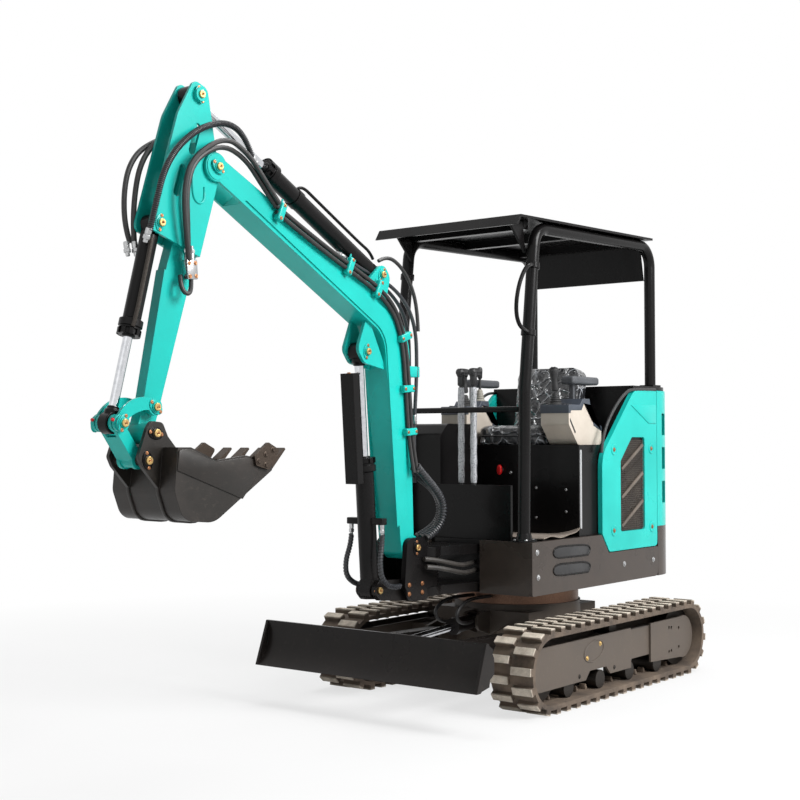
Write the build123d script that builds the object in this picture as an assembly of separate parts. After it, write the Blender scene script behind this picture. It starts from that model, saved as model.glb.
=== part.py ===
from build123d import *
import os
from math import atan2, cos, degrees, hypot, pi, radians, sin

# A two-tonne class mini excavator: rubber tracks, dozer blade, slewing house with an open canopy,
# swing boom, arm and bucket. Millimetres, +X forward, +Y to the machine's left, +Z up.
# Sizes are given from the slew axis on the ground; the finished pieces are then moved so that
# the origin lies under the middle of the whole machine.

# Fits and clearances
SEAT_GAP = 0.3
PIN_CLEARANCE = 0.3
SIDE_GAP = 3.0
PANEL_GAP = 4.0

# Rubber tracks
TRACK_LENGTH = 1800
TRACK_HEIGHT = 396
TRACK_WIDTH = 230
TRACK_SPREAD = 1066
BELT = 20
LUG_HEIGHT = 24
LUG_LENGTH = 36
LUG_WIDTH = 106
LUG_COUNT = 44

# Track frames and what turns in them
FRAME_PLATE = 12
FRAME_INSIDE = 128
FRAME_LOW = 106
FRAME_HIGH = 306
FRAME_FRONT = 810
FRAME_REAR = -560
FRAME_STEP = -115
FRAME_RECESS = 20
FRAME_JOINT_REAR = -330
NOTCH_FRONT = 340
NOTCH_REAR = 100
NOTCH_HIGH = 40
NOTCH_SLOPE = 40
WEB_LOW = 146
WEB_HIGH = 272
ROLLER_RADIUS = 45
ROLLER_PLACES = (-420, -120, 180, 480)
CARRIER_RADIUS = 34
CARRIER_PLACE = 0
WHEEL_WIDTH = 66
AXLE_RADIUS = 26
DRIVE_COVER_RADIUS = 112
DRIVE_HOLE = 9
DRIVE_HOLES = ((72, 45), (72, -45), (150, 24), (150, -24), (176, 21), (176, -21))

# Centre frame and slew ring
CENTRE_LENGTH = 660
CENTRE_WIDTH = 560
CENTRE_LOW = 205
CENTRE_HIGH = 400
LEG_LENGTH = 150
LEG_INSET = 15
LEG_PLACE = (CENTRE_LENGTH - LEG_LENGTH) / 2 - LEG_INSET
LEG_HEIGHT = 130
RING_RADIUS = CENTRE_LENGTH / 2
RING_WALL = 80
RING_BORE = RING_RADIUS - RING_WALL
HOUSE_LOW = 515
TOW_EYE_BORE = 21
TOW_EYE_PLATE = 22
TOW_EYE_WIDTH = 90
TOW_EYE_REACH = 470

# Dozer blade
BLADE_WIDTH = 1290
BLADE_TOP_X = 1240
BLADE_TOP_Z = 391
BLADE_EDGE_X = 1315
BLADE_EDGE_Z = 185
BLADE_HOLLOW = 34
BLADE_PLATE = 14
BLADE_BOX_DEPTH = 62
BLADE_ARM_SPREAD = 420
BLADE_ARM_WIDTH = 70
BLADE_ARM_HEIGHT = 84
BLADE_PIVOT_AHEAD = 100
BLADE_PIVOT_X = CENTRE_LENGTH / 2 + BLADE_PIVOT_AHEAD
BLADE_PIVOT_Z = 262
BLADE_PIN_RADIUS = 17
LASH_BORE = 20
LASH_PLATE = 18

# Blade cylinder
BLADE_RAM_AHEAD = 65
BLADE_RAM_BASE_X = CENTRE_LENGTH / 2 + BLADE_RAM_AHEAD
BLADE_RAM_BASE_Z = 352
BLADE_RAM_EYE_X = 1105
BLADE_RAM_EYE_Z = 306

# House
HOUSE_HALF_WIDTH = 457
HOUSE_FRONT = 575
HOUSE_TAIL = -1000
TAIL_CORNER = 250
DECK_TOP = 772
DECK_PLATE = 24
FLOOR_PLATE = 20
SKIRT_PLATE = 22
SKIRT_REAR = -715
SKIRT_STEP_Z = 676
COUNTERWEIGHT_TOP = 786
COUNTERWEIGHT_FRONT = -716
PANEL_PLATE = 26
PANEL_FRONT = -101
PANEL_REAR = -708
PANEL_TOE = -174
PANEL_TOP = 1530
PANEL_CURVE_LOW = 1180
PANEL_CURVE_TOP = -455
WINDOW_REAR = -565
WINDOW_FRONT = -297
WINDOW_LOW = 778
WINDOW_HIGH = 1274
WINDOW_CUT = 125
GRILLE_PLATE = 8
GRILLE_BAR = 10
COVER_PLATE = 18
BULKHEAD_X = -455
ENGINE_LENGTH = 420
ENGINE_WIDTH = 520
ENGINE_HEIGHT = 520
ENGINE_LOW = 640
HOOD_PLATE = 24
HINGE_RADIUS = 10
HINGE_PIN = 5
HINGE_LEAF = 6
HINGE_LEAF_LENGTH = 56
HINGE_HEIGHT = 150
HOOD_SLOT_COUNT = 3
HOOD_SLOT_LENGTH = 560
HOOD_SLOT_HEIGHT = 120

# Kingpost of the swinging boom
SWING_X = 840
POST_LUG_RADIUS = 92
POST_UPPER_LOW = 706
POST_UPPER_HIGH = 752
POST_LOWER_LOW = 522
POST_LOWER_HIGH = 566
POST_WIDTH = 300
POST_NECK = 140
SWING_PIN_RADIUS = 34

# Driver's place
SEAT_CENTRE = 0
SEAT_BOX_FRONT = 80
SEAT_BOX_RIGHT = -270
SEAT_BOX_LEFT = 425
SEAT_BOX_TOP = 1235
CUSHION_LENGTH = 330
CUSHION_WIDTH = 430
CUSHION_HEIGHT = 90
BACK_HEIGHT = 410
BACK_THICK = 95
BACK_LEAN = 9
CONSOLE_FRONT = 130
CONSOLE_REAR = -200
CONSOLE_INNER = 232
CONSOLE_WIDTH = 165
CONSOLE_TOP = 1468
CONSOLE_STEP = 30
ARMREST_LENGTH = 270
ARMREST_WIDTH = 80
ARMREST_THICK = 42
ARMREST_TOP = 1590
STICK_HEIGHT = 190
STICK_RADIUS = 11
GRIP_RADIUS = 19
LEVER_X = 455
LEVER_SPREAD = 76
LEVER_TOP = 1580
LEVER_RADIUS = 10
MAT_LENGTH = 350
MAT_WIDTH = 500
MAT_THICK = 9
FRONT_PANEL_X = 520
FRONT_PANEL_PLATE = 18
FRONT_PANEL_TOP = 1040
FRONT_PANEL_LEFT = 300
SIDE_BOX_TOP = 1345
SIDE_BOX_FRONT = 470
SIDE_BOX_REAR = 150
SIDE_BOX_WIDTH = 300

# Canopy
POST_RADIUS = 30
POST_SPREAD = 770
POST_FOOT_X = 535
POST_KNEE_X = 522
POST_KNEE_Z = 1500
POST_TOP_X = 425
POST_TOP_Z = 2302
POST_REAR_X = -775
POST_REAR_Z = 2336
POST_BEND = 110
POST_KNEE_BEND = 400
ROOF_FRONT = 623
ROOF_REAR = -727
ROOF_HALF_WIDTH = 432
ROOF_PLATE = 12
ROOF_LIP = 52
ROOF_LIP_LEAN = 34
ROOF_SIDE = 40
VISOR_DROP = 215
VISOR_PLATE = 12
GUSSET_LENGTH = 130
GUSSET_DROP = 150
RAIL_RADIUS = 14
RAIL_Z = 1410

# Boom: outline in its own frame, along the line from foot pin to tip pin and square to it
BOOM_FOOT_X = 1005
BOOM_FOOT_Z = 760
BOOM_LENGTH = 2035
BOOM_ANGLE = 51.3
BOOM_HALF_WIDTH = 64
BOOM_BELLY_ALONG = 896
BOOM_BELLY_RISE = 456
BOOM_BACK_ALONG = 848
BOOM_BACK_RISE = 655
BOOM_FOOT_BOSS = 56
BOOM_TIP_BOSS = 58
BOOM_FORK = 190
SIDE_PLATE = 6
SIDE_PLATE_INSET = 46
BOOM_RAM_ALONG = 899
BOOM_RAM_RISE = 322
ARM_RAM_ALONG = 1110
ARM_RAM_SINK = 23
ARM_RAM_RISE = BOOM_BACK_RISE - ARM_RAM_SINK
RAM_EAR = 16

# Swing bracket
CHEEK = 25
CHEEK_FRONT = 1092
CHEEK_REAR = 918
CHEEK_TOP = 806
CHEEK_LOW = 512
BOOM_RAM_BASE_X = 1235
BOOM_RAM_BASE_Z = 578

# Arm: outline in its own frame, along the line from boom pin to bucket pin and square to it
ARM_LENGTH = 1112
ARM_ANGLE = -72.1
ARM_HALF_WIDTH = 48
ARM_PLATE = 12
ARM_SLIM_HALF = 24
ARM_LINK_BOSS = 28
ARM_TAIL_ALONG = -235
ARM_TAIL_RISE = 164
ARM_DEPTH = 240
ARM_TIP_DEPTH = 36
ARM_STEP_DEPTH = 98
ARM_CHANNEL_FLOOR = 88
ARM_CHANNEL_PAST = 150
BUCKET_RAM_ALONG = 330
BUCKET_RAM_RISE = 190
LINK_BACK = 102
LINK_ALONG = ARM_LENGTH - LINK_BACK
LINK_RISE = 6

# Bucket linkage
LINK_LENGTH = 178
LINK_ANGLE = -20.2
LINK_PLATE = 12
LINK_EYE = 33
LINK_ARCH = 10
LINK_BAND = 52
ROD_EYE_HALF = 24
FORK_PLATE = 17

# Bucket: outline in its own frame, from the bucket pin towards the tooth tips and square to it
BUCKET_ANGLE = 185.5
BUCKET_WIDTH = 350
BUCKET_SHELL = 10
BUCKET_EAR = 16
BUCKET_LINK_ALONG = -29
BUCKET_LINK_DROP = 105
BUCKET_REACH = 628
TOOTH_REACH = 72
BUCKET_MOUTH = BUCKET_REACH - TOOTH_REACH
BUCKET_DEPTH = 320
TOOTH_COUNT = 4
TOOTH_WIDTH = 46
TOOTH_THICK = 34
CUTTER_PLATE = 14

# Pins of the working gear
PIN_RADIUS = 20
PIN_HEAD = 9
EYE_WALL = 21

# Working ranges, degrees from the pose shown
BOOM_DOWN = -80
BOOM_UP = 20
ARM_OUT = -88
ARM_IN = 26
BLADE_DOWN = -28
BLADE_UP = 6

# Hydraulic cylinders
GUIDE = 70
ROD_CLEARANCE = 0.5
RAM_END = 14
BOOM_BARREL = 43
BOOM_ROD = 22
ARM_BARREL = 39
ARM_ROD = 20
BUCKET_BARREL = 35
BUCKET_ROD = 18
BUCKET_RAM_OUT = 40
BUCKET_RAM_IN = 262
BLADE_BARREL = 38
BLADE_ROD = 18
RAM_EYE_HALF = 30


def frame_at(origin, angle):
    """Gives x and z of a point told along and square to a line that leaves origin at angle."""
    c, s = cos(radians(angle)), sin(radians(angle))
    return lambda along, rise: (origin[0] + along * c - rise * s, origin[1] + along * s + rise * c)


def swung(point, pivot, angle):
    """A point in the x-z plane turned about pivot, upwards ahead of it."""
    return frame_at(pivot, angle)(point[0] - pivot[0], point[1] - pivot[1])


def span(a, b):
    return hypot(b[0] - a[0], b[1] - a[1])


def slab(points, y_low, y_high, radii=None):
    """The solid of an x-z outline between two y values, its corners rounded by radii."""
    line = FilletPolyline(*points, radius=radii, close=True) if radii else Polyline(*points, close=True)
    return extrude(Plane.XZ.offset(-y_high) * make_face(line), y_high - y_low, dir=(0, -1, 0))


def disc(place, radius, y_low, y_high):
    """A round along Y at an x-z place."""
    middle = Pos(place[0], (y_low + y_high) / 2, place[1])
    return middle * Rot(90, 0, 0) * Cylinder(radius, y_high - y_low)


def block(x_low, x_high, y_low, y_high, z_low, z_high):
    return Pos((x_low + x_high) / 2, (y_low + y_high) / 2, (z_low + z_high) / 2) * Box(
        x_high - x_low, y_high - y_low, z_high - z_low
    )


def upright(place, radius, z_low, z_high):
    return Pos(place[0], place[1], (z_low + z_high) / 2) * Cylinder(radius, z_high - z_low)


def both(shape):
    """A piece and its twin on the other side of the middle plane."""
    return shape + mirror(shape, about=Plane.XZ)


def ears(points, inner, thick, radii):
    """Two plates of one outline, either side of the middle plane."""
    return both(slab(points, inner, inner + thick, radii))


# Pins of the working gear, in the x-z plane
BOOM_FOOT = (BOOM_FOOT_X, BOOM_FOOT_Z)
on_boom = frame_at(BOOM_FOOT, BOOM_ANGLE)
BOOM_TIP = on_boom(BOOM_LENGTH, 0)
BOOM_RAM_PIN = on_boom(BOOM_RAM_ALONG, BOOM_RAM_RISE)
ARM_RAM_BASE = on_boom(ARM_RAM_ALONG, ARM_RAM_RISE)
BOOM_RAM_BASE = (BOOM_RAM_BASE_X, BOOM_RAM_BASE_Z)
on_arm = frame_at(BOOM_TIP, ARM_ANGLE)
ARM_TAIL_PIN = on_arm(ARM_TAIL_ALONG, ARM_TAIL_RISE)
BUCKET_RAM_BASE = on_arm(BUCKET_RAM_ALONG, BUCKET_RAM_RISE)
LINK_PIN = on_arm(LINK_ALONG, LINK_RISE)
BUCKET_PIN = on_arm(ARM_LENGTH, 0)
ROD_PIN = frame_at(LINK_PIN, LINK_ANGLE)(LINK_LENGTH, 0)
on_bucket = frame_at(BUCKET_PIN, BUCKET_ANGLE)
BUCKET_LINK_PIN = on_bucket(BUCKET_LINK_ALONG, BUCKET_LINK_DROP)
BLADE_PIVOT = (BLADE_PIVOT_X, BLADE_PIVOT_Z)
BLADE_RAM_BASE = (BLADE_RAM_BASE_X, BLADE_RAM_BASE_Z)
BLADE_RAM_PIN = (BLADE_RAM_EYE_X, BLADE_RAM_EYE_Z)
EYE_RADIUS = PIN_RADIUS + EYE_WALL
PIN_BORE = PIN_RADIUS + PIN_CLEARANCE

# Side layers of the working gear, as distances from the middle plane
RAM_EAR_INNER = RAM_EYE_HALF + SIDE_GAP
FORK_INNER = ROD_EYE_HALF + SIDE_GAP
FORK_OUTER = FORK_INNER + FORK_PLATE
LINK_INNER = ARM_HALF_WIDTH + SIDE_GAP
LINK_OUTER = LINK_INNER + LINK_PLATE
EAR_INNER = LINK_OUTER + PIN_HEAD + SIDE_GAP
EAR_OUTER = EAR_INNER + BUCKET_EAR
BOOM_EAR_INNER = ARM_HALF_WIDTH + SIDE_GAP
CHEEK_INNER = BOOM_HALF_WIDTH + SIDE_GAP
CHEEK_OUTER = CHEEK_INNER + CHEEK

# Levels and places worked out from the sizes above
TRACK_CENTRE = TRACK_SPREAD / 2
WHEEL_X = (TRACK_LENGTH - TRACK_HEIGHT) / 2
AXLE_Z = TRACK_HEIGHT / 2
LOOP_INSIDE = TRACK_HEIGHT / 2 - LUG_HEIGHT - BELT
FRAME_INNER = TRACK_CENTRE - FRAME_INSIDE / 2 - FRAME_PLATE
FRAME_OUTER = TRACK_CENTRE + FRAME_INSIDE / 2 + FRAME_PLATE
RING_TOP = HOUSE_LOW - SEAT_GAP
HINGE_X = PANEL_REAR - PANEL_GAP - SIDE_GAP
HINGE_Y = -HOUSE_HALF_WIDTH - HINGE_RADIUS - 1
HINGE_PLACES = (COUNTERWEIGHT_TOP + HINGE_HEIGHT, PANEL_TOP - HINGE_HEIGHT)
SHIFT = Pos(-(ROD_PIN[0] + LINK_EYE + HOUSE_TAIL) / 2, 0, 0)


def track_point(run, level):
    """Place and heading on the track loop, run along it from the rear of the lower run."""
    radius = AXLE_Z - level
    straight = 2 * WHEEL_X
    turn = pi * radius
    run = run % (2 * straight + 2 * turn)
    if run < straight:
        return -WHEEL_X + run, AXLE_Z - radius, 0.0
    if run < straight + turn:
        angle = (run - straight) / radius
        return WHEEL_X + radius * sin(angle), AXLE_Z - radius * cos(angle), angle
    if run < 2 * straight + turn:
        return WHEEL_X - (run - straight - turn), AXLE_Z + radius, pi
    angle = pi + (run - 2 * straight - turn) / radius
    return -WHEEL_X + radius * sin(angle), AXLE_Z - radius * cos(angle), angle


def left_track():
    """Belt loop with two staggered rows of lugs."""
    belt_height = TRACK_HEIGHT - 2 * LUG_HEIGHT
    outer = SlotOverall(TRACK_LENGTH - 2 * LUG_HEIGHT, belt_height)
    inner = SlotOverall(TRACK_LENGTH - 2 * LUG_HEIGHT - 2 * BELT, belt_height - 2 * BELT)
    side = Plane((0, TRACK_CENTRE + TRACK_WIDTH / 2, AXLE_Z), x_dir=(1, 0, 0), z_dir=(0, -1, 0))
    loop = extrude(side * (outer - inner), TRACK_WIDTH)
    middle = LUG_HEIGHT / 2
    sunk = BELT / 4
    pitch = (4 * WHEEL_X + 2 * pi * (AXLE_Z - middle)) / LUG_COUNT
    lugs = []
    for row, y in enumerate((TRACK_WIDTH - LUG_WIDTH, LUG_WIDTH - TRACK_WIDTH)):
        for place in range(LUG_COUNT):
            x, z, heading = track_point((place + row / 2) * pitch, middle)
            turn = Rot(0, -heading * 180 / pi, 0)
            lug = Pos(0, 0, sunk / 2) * Box(LUG_LENGTH, LUG_WIDTH, LUG_HEIGHT + sunk)
            lugs.append(Pos(x, TRACK_CENTRE + y / 2, z) * turn * lug)
    return loop + lugs


def left_track_frame():
    """Channel of two plates and a web, with a notched front plate, a recessed joint and the drive cover."""
    inner = [
        (FRAME_REAR, FRAME_LOW),
        (FRAME_FRONT, FRAME_LOW),
        (FRAME_FRONT, FRAME_HIGH),
        (FRAME_REAR, FRAME_HIGH),
    ]
    frame = slab(inner, FRAME_INNER, FRAME_INNER + FRAME_PLATE, [20, 34, 34, 20])
    drive = (-WHEEL_X, AXLE_Z)
    rear_reach = DRIVE_COVER_RADIUS - SIDE_GAP
    front_plate = [
        (FRAME_STEP, FRAME_LOW),
        (NOTCH_REAR, FRAME_LOW),
        (NOTCH_REAR + NOTCH_SLOPE, FRAME_LOW + NOTCH_HIGH),
        (NOTCH_FRONT - NOTCH_SLOPE, FRAME_LOW + NOTCH_HIGH),
        (NOTCH_FRONT, FRAME_LOW),
        (FRAME_FRONT - NOTCH_SLOPE, FRAME_LOW),
        (FRAME_FRONT, FRAME_LOW + NOTCH_SLOPE),
        (FRAME_FRONT, FRAME_HIGH),
        (FRAME_STEP, FRAME_HIGH),
    ]
    face_low = FRAME_OUTER - FRAME_PLATE
    frame += slab(front_plate, face_low, FRAME_OUTER)
    joint_rear, joint_front = FRAME_JOINT_REAR - FRAME_PLATE, FRAME_STEP + FRAME_PLATE
    frame += block(
        joint_rear, joint_front, face_low - FRAME_RECESS, face_low, WEB_LOW, FRAME_HIGH - FRAME_PLATE
    )
    rear_plate = [
        (drive[0], AXLE_Z - rear_reach),
        (FRAME_JOINT_REAR, FRAME_LOW),
        (FRAME_JOINT_REAR, FRAME_HIGH),
        (drive[0], AXLE_Z + rear_reach),
    ]
    for low in (FRAME_INNER, face_low):
        frame += disc(drive, DRIVE_COVER_RADIUS, low, low + FRAME_PLATE)
        frame += slab(rear_plate, low, low + FRAME_PLATE)
    web_end = WHEEL_X - LOOP_INSIDE - 2 * PANEL_GAP
    frame += block(-web_end, web_end, FRAME_INNER, FRAME_OUTER - FRAME_PLATE, WEB_LOW, WEB_HIGH)
    carrier_z = AXLE_Z + LOOP_INSIDE - CARRIER_RADIUS
    bracket = [
        (CARRIER_PLACE - 2 * CARRIER_RADIUS, FRAME_HIGH - FRAME_PLATE),
        (CARRIER_PLACE + 2 * CARRIER_RADIUS, FRAME_HIGH - FRAME_PLATE),
        (CARRIER_PLACE, carrier_z + CARRIER_RADIUS / 2),
    ]
    frame += slab(bracket, FRAME_INNER, FRAME_INNER + FRAME_PLATE)
    holes = [
        (-WHEEL_X + reach * cos(radians(turn)), AXLE_Z + reach * sin(radians(turn)))
        for reach, turn in DRIVE_HOLES
    ]
    for place in holes:
        frame -= disc(place, DRIVE_HOLE, face_low - 1, FRAME_OUTER + 1)
    return frame


def left_rollers():
    """Idler, sprocket, bottom rollers and carrier roller, each between the frame's plates."""
    inside = FRAME_INSIDE / 2 - SEAT_GAP
    low, high = TRACK_CENTRE - inside, TRACK_CENTRE + inside
    wheels = []
    for x in (-WHEEL_X, WHEEL_X):
        tread = disc(
            (x, AXLE_Z),
            LOOP_INSIDE - SEAT_GAP,
            TRACK_CENTRE - WHEEL_WIDTH / 2,
            TRACK_CENTRE + WHEEL_WIDTH / 2,
        )
        wheels.append(tread + disc((x, AXLE_Z), 2 * AXLE_RADIUS, low, high))
    roller_z = AXLE_Z - LOOP_INSIDE + ROLLER_RADIUS + SEAT_GAP
    for x in ROLLER_PLACES:
        wheels.append(disc((x, roller_z), ROLLER_RADIUS, low, high))
    carrier_z = AXLE_Z + LOOP_INSIDE - CARRIER_RADIUS - SEAT_GAP
    wheels.append(disc((CARRIER_PLACE, carrier_z), CARRIER_RADIUS, low, TRACK_CENTRE + WHEEL_WIDTH / 2))
    return wheels


def carbody():
    """Centre box with four legs to the track frames, blade lugs in front and a tow eye behind."""
    half = CENTRE_LENGTH / 2
    body = block(-half, half, -CENTRE_WIDTH / 2, CENTRE_WIDTH / 2, CENTRE_LOW, CENTRE_HIGH)
    leg_low = FRAME_HIGH - LEG_HEIGHT - FRAME_PLATE
    for x in (-LEG_PLACE, LEG_PLACE):
        body += block(
            x - LEG_LENGTH / 2, x + LEG_LENGTH / 2, -FRAME_INNER, FRAME_INNER, leg_low, leg_low + LEG_HEIGHT
        )
    body += upright((0, 0), RING_RADIUS, CENTRE_HIGH - 40, CENTRE_HIGH + 30)
    for y in (-BLADE_ARM_SPREAD / 2, BLADE_ARM_SPREAD / 2):
        inner = y - BLADE_ARM_WIDTH / 2 - SIDE_GAP
        outer = y + BLADE_ARM_WIDTH / 2 + SIDE_GAP
        reach = BLADE_PIVOT_X + 46
        for low in (inner - LASH_PLATE, outer):
            lug = [
                (half - 20, CENTRE_LOW),
                (reach, BLADE_PIVOT_Z - 44),
                (reach, BLADE_PIVOT_Z + 44),
                (half - 20, CENTRE_HIGH - 60),
            ]
            body += slab(lug, low, low + LASH_PLATE, [0, 40, 40, 0])
        body += disc(BLADE_PIVOT, BLADE_PIN_RADIUS, inner - LASH_PLATE, outer + LASH_PLATE)
    for low in (-RAM_EAR_INNER - RAM_EAR, RAM_EAR_INNER):
        lug = [
            (half - 30, CENTRE_HIGH - 130),
            (BLADE_RAM_BASE_X + 46, BLADE_RAM_BASE_Z - 40),
            (BLADE_RAM_BASE_X + 46, BLADE_RAM_BASE_Z + 40),
            (half - 30, CENTRE_HIGH),
        ]
        body += slab(lug, low, low + RAM_EAR, [0, 38, 38, 0])
    body += disc(BLADE_RAM_BASE, BLADE_PIN_RADIUS, -RAM_EAR_INNER - RAM_EAR, RAM_EAR_INNER + RAM_EAR)
    eye_z = (CENTRE_LOW + CENTRE_HIGH) / 2
    eye = block(
        -TOW_EYE_REACH,
        -half,
        -TOW_EYE_WIDTH / 2,
        TOW_EYE_WIDTH / 2,
        eye_z - TOW_EYE_PLATE / 2,
        eye_z + TOW_EYE_PLATE / 2,
    )
    hole = (-TOW_EYE_REACH + TOW_EYE_WIDTH / 2, 0)
    body += eye
    return body - upright(hole, TOW_EYE_BORE, eye_z - TOW_EYE_PLATE, eye_z + TOW_EYE_PLATE)


def slew_ring():
    ring = upright((0, 0), RING_RADIUS - 10, CENTRE_HIGH + 30, RING_TOP)
    return ring - upright((0, 0), RING_BORE, CENTRE_HIGH, HOUSE_LOW)


def dozer_blade():
    """Hollow-ground mouldboard, box section behind it, end plates and two lashing eyes."""
    half = BLADE_WIDTH / 2
    top, edge = (BLADE_TOP_X, BLADE_TOP_Z), (BLADE_EDGE_X, BLADE_EDGE_Z)
    middle = ((top[0] + edge[0]) / 2 - BLADE_HOLLOW, (top[1] + edge[1]) / 2)
    face = ThreePointArc((*top,), (*middle,), (*edge,))
    back = [
        edge,
        (BLADE_EDGE_X - 2 * BLADE_PLATE, BLADE_EDGE_Z),
        (middle[0] - BLADE_BOX_DEPTH, middle[1] - 34),
        (middle[0] - BLADE_BOX_DEPTH, middle[1] + 34),
        (BLADE_TOP_X - BLADE_PLATE, BLADE_TOP_Z),
        top,
    ]
    section = make_face([face, Polyline(*back)])
    blade = extrude(Plane.XZ.offset(-half) * section, BLADE_WIDTH, dir=(0, -1, 0))
    end = [
        (BLADE_TOP_X, BLADE_TOP_Z),
        (BLADE_EDGE_X, BLADE_EDGE_Z),
        (BLADE_EDGE_X - 96, BLADE_EDGE_Z + 18),
        (BLADE_TOP_X - 50, BLADE_TOP_Z - 30),
    ]
    plate = both(slab(end, half - BLADE_PLATE, half))
    blade += plate
    eye_z = middle[1]
    eye_x = middle[0] - BLADE_BOX_DEPTH
    lash_y = half - 150
    eye = block(eye_x - 64, eye_x, lash_y, lash_y + LASH_PLATE, eye_z - 32, eye_z + 32)
    blade += both(eye - disc((eye_x - 32, eye_z), LASH_BORE, lash_y - LASH_PLATE, lash_y + 2 * LASH_PLATE))
    ear = [
        (eye_x + 20, BLADE_RAM_EYE_Z - 46),
        (BLADE_RAM_EYE_X - 40, BLADE_RAM_EYE_Z - 40),
        (BLADE_RAM_EYE_X - 40, BLADE_RAM_EYE_Z + 40),
        (eye_x + 20, BLADE_RAM_EYE_Z + 46),
    ]
    return blade + ears(ear, RAM_EAR_INNER, RAM_EAR, [0, 38, 38, 0])


def blade_arms():
    """Two arms from the centre frame's lugs to the back of the blade."""
    back = (BLADE_TOP_X + BLADE_EDGE_X) / 2 - BLADE_HOLLOW - BLADE_BOX_DEPTH
    blade_z = (BLADE_TOP_Z + BLADE_EDGE_Z) / 2
    half = BLADE_ARM_HEIGHT / 2
    outline = [
        (BLADE_PIVOT_X - half, BLADE_PIVOT_Z - half),
        (back, blade_z - 34),
        (back, blade_z + 34),
        (BLADE_PIVOT_X - half, BLADE_PIVOT_Z + half),
    ]
    y = (BLADE_ARM_SPREAD - BLADE_ARM_WIDTH) / 2
    arm = slab(outline, y, y + BLADE_ARM_WIDTH, [half - 2, 0, 0, half - 2])
    bore = disc(BLADE_PIVOT, BLADE_PIN_RADIUS + PIN_CLEARANCE, y - SIDE_GAP, y + BLADE_ARM_WIDTH + SIDE_GAP)
    return [arm - bore, mirror(arm - bore, about=Plane.XZ)]


def ram(base, eye, barrel, rod, shortest, longest, half, eye_radius, bore):
    """Barrel and rod of a cylinder between two pins, with room for its whole stroke."""
    length = span(base, eye)
    heading = ((eye[0] - base[0]) / length, 0, (eye[1] - base[1]) / length)
    axis = Plane((base[0], 0, base[1]), x_dir=(0, 1, 0), z_dir=heading)
    floor = eye_radius + RAM_END
    bottom = floor + RAM_END
    mouth = bottom + RAM_END + GUIDE + longest - shortest
    inner_end = mouth - GUIDE - (longest - length)
    ring = Rot(0, 90, 0) * Cylinder(eye_radius, 2 * half)
    hole = Rot(0, 90, 0) * Cylinder(bore, 4 * half)
    start = (Align.CENTER, Align.CENTER, Align.MIN)
    shoulder = Pos(0, 0, floor) * Cylinder(barrel, mouth - floor, align=start)
    neck = Pos(0, 0, floor / 2) * Box(2 * half, 1.4 * barrel, floor)
    tube = shoulder + neck + ring - hole
    gland = Pos(0, 0, mouth - GUIDE / 2) * Cylinder(barrel + 4, GUIDE / 2, align=start)
    tube = tube + gland - Pos(0, 0, bottom) * Cylinder(rod + ROD_CLEARANCE, mouth, align=start)
    rod_end = length - eye_radius + 6
    bar = Pos(0, 0, inner_end) * Cylinder(rod, rod_end - inner_end, align=start)
    eye_ring = Pos(0, 0, length) * ring - Pos(0, 0, length) * hole
    return axis * tube, axis * (bar + eye_ring)


def ram_limits(pivot, base, eye, low, high):
    """Shortest and longest pin distance as the eye swings with its carrier between two angles."""
    reaches = [span(base, swung(eye, pivot, low + (high - low) * step / 24)) for step in range(25)]
    return min(reaches), max(reaches)


def boom_ram():
    short, long = ram_limits(BOOM_FOOT, BOOM_RAM_BASE, BOOM_RAM_PIN, BOOM_DOWN, BOOM_UP)
    return ram(
        BOOM_RAM_BASE, BOOM_RAM_PIN, BOOM_BARREL, BOOM_ROD, short, long, RAM_EYE_HALF, EYE_RADIUS, PIN_BORE
    )


def arm_ram():
    short, long = ram_limits(BOOM_TIP, ARM_RAM_BASE, ARM_TAIL_PIN, -ARM_IN, -ARM_OUT)
    return ram(
        ARM_RAM_BASE, ARM_TAIL_PIN, ARM_BARREL, ARM_ROD, short, long, RAM_EYE_HALF, EYE_RADIUS, PIN_BORE
    )


def bucket_ram():
    length = span(BUCKET_RAM_BASE, ROD_PIN)
    short, long = length - BUCKET_RAM_IN, length + BUCKET_RAM_OUT
    return ram(
        BUCKET_RAM_BASE,
        ROD_PIN,
        BUCKET_BARREL,
        BUCKET_ROD,
        short,
        long,
        ROD_EYE_HALF,
        EYE_RADIUS - 5,
        PIN_BORE,
    )


def blade_ram():
    short, long = ram_limits(BLADE_PIVOT, BLADE_RAM_BASE, BLADE_RAM_PIN, BLADE_DOWN, BLADE_UP)
    bore = BLADE_PIN_RADIUS + PIN_CLEARANCE
    return ram(
        BLADE_RAM_BASE,
        BLADE_RAM_PIN,
        BLADE_BARREL,
        BLADE_ROD,
        short,
        long,
        RAM_EYE_HALF,
        BLADE_BARREL,
        bore,
    )


def tail_outline(inset, front):
    """Plan of the house's rear, square in front and rounded behind, drawn inset from the house's sides."""
    half = HOUSE_HALF_WIDTH - inset
    tail = HOUSE_TAIL + inset
    corner = TAIL_CORNER - inset
    line = FilletPolyline(
        (front, -half),
        (front, half),
        (tail, half),
        (tail, -half),
        radius=[0, 0, corner, corner],
        close=True,
    )
    return make_face(line)


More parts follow.
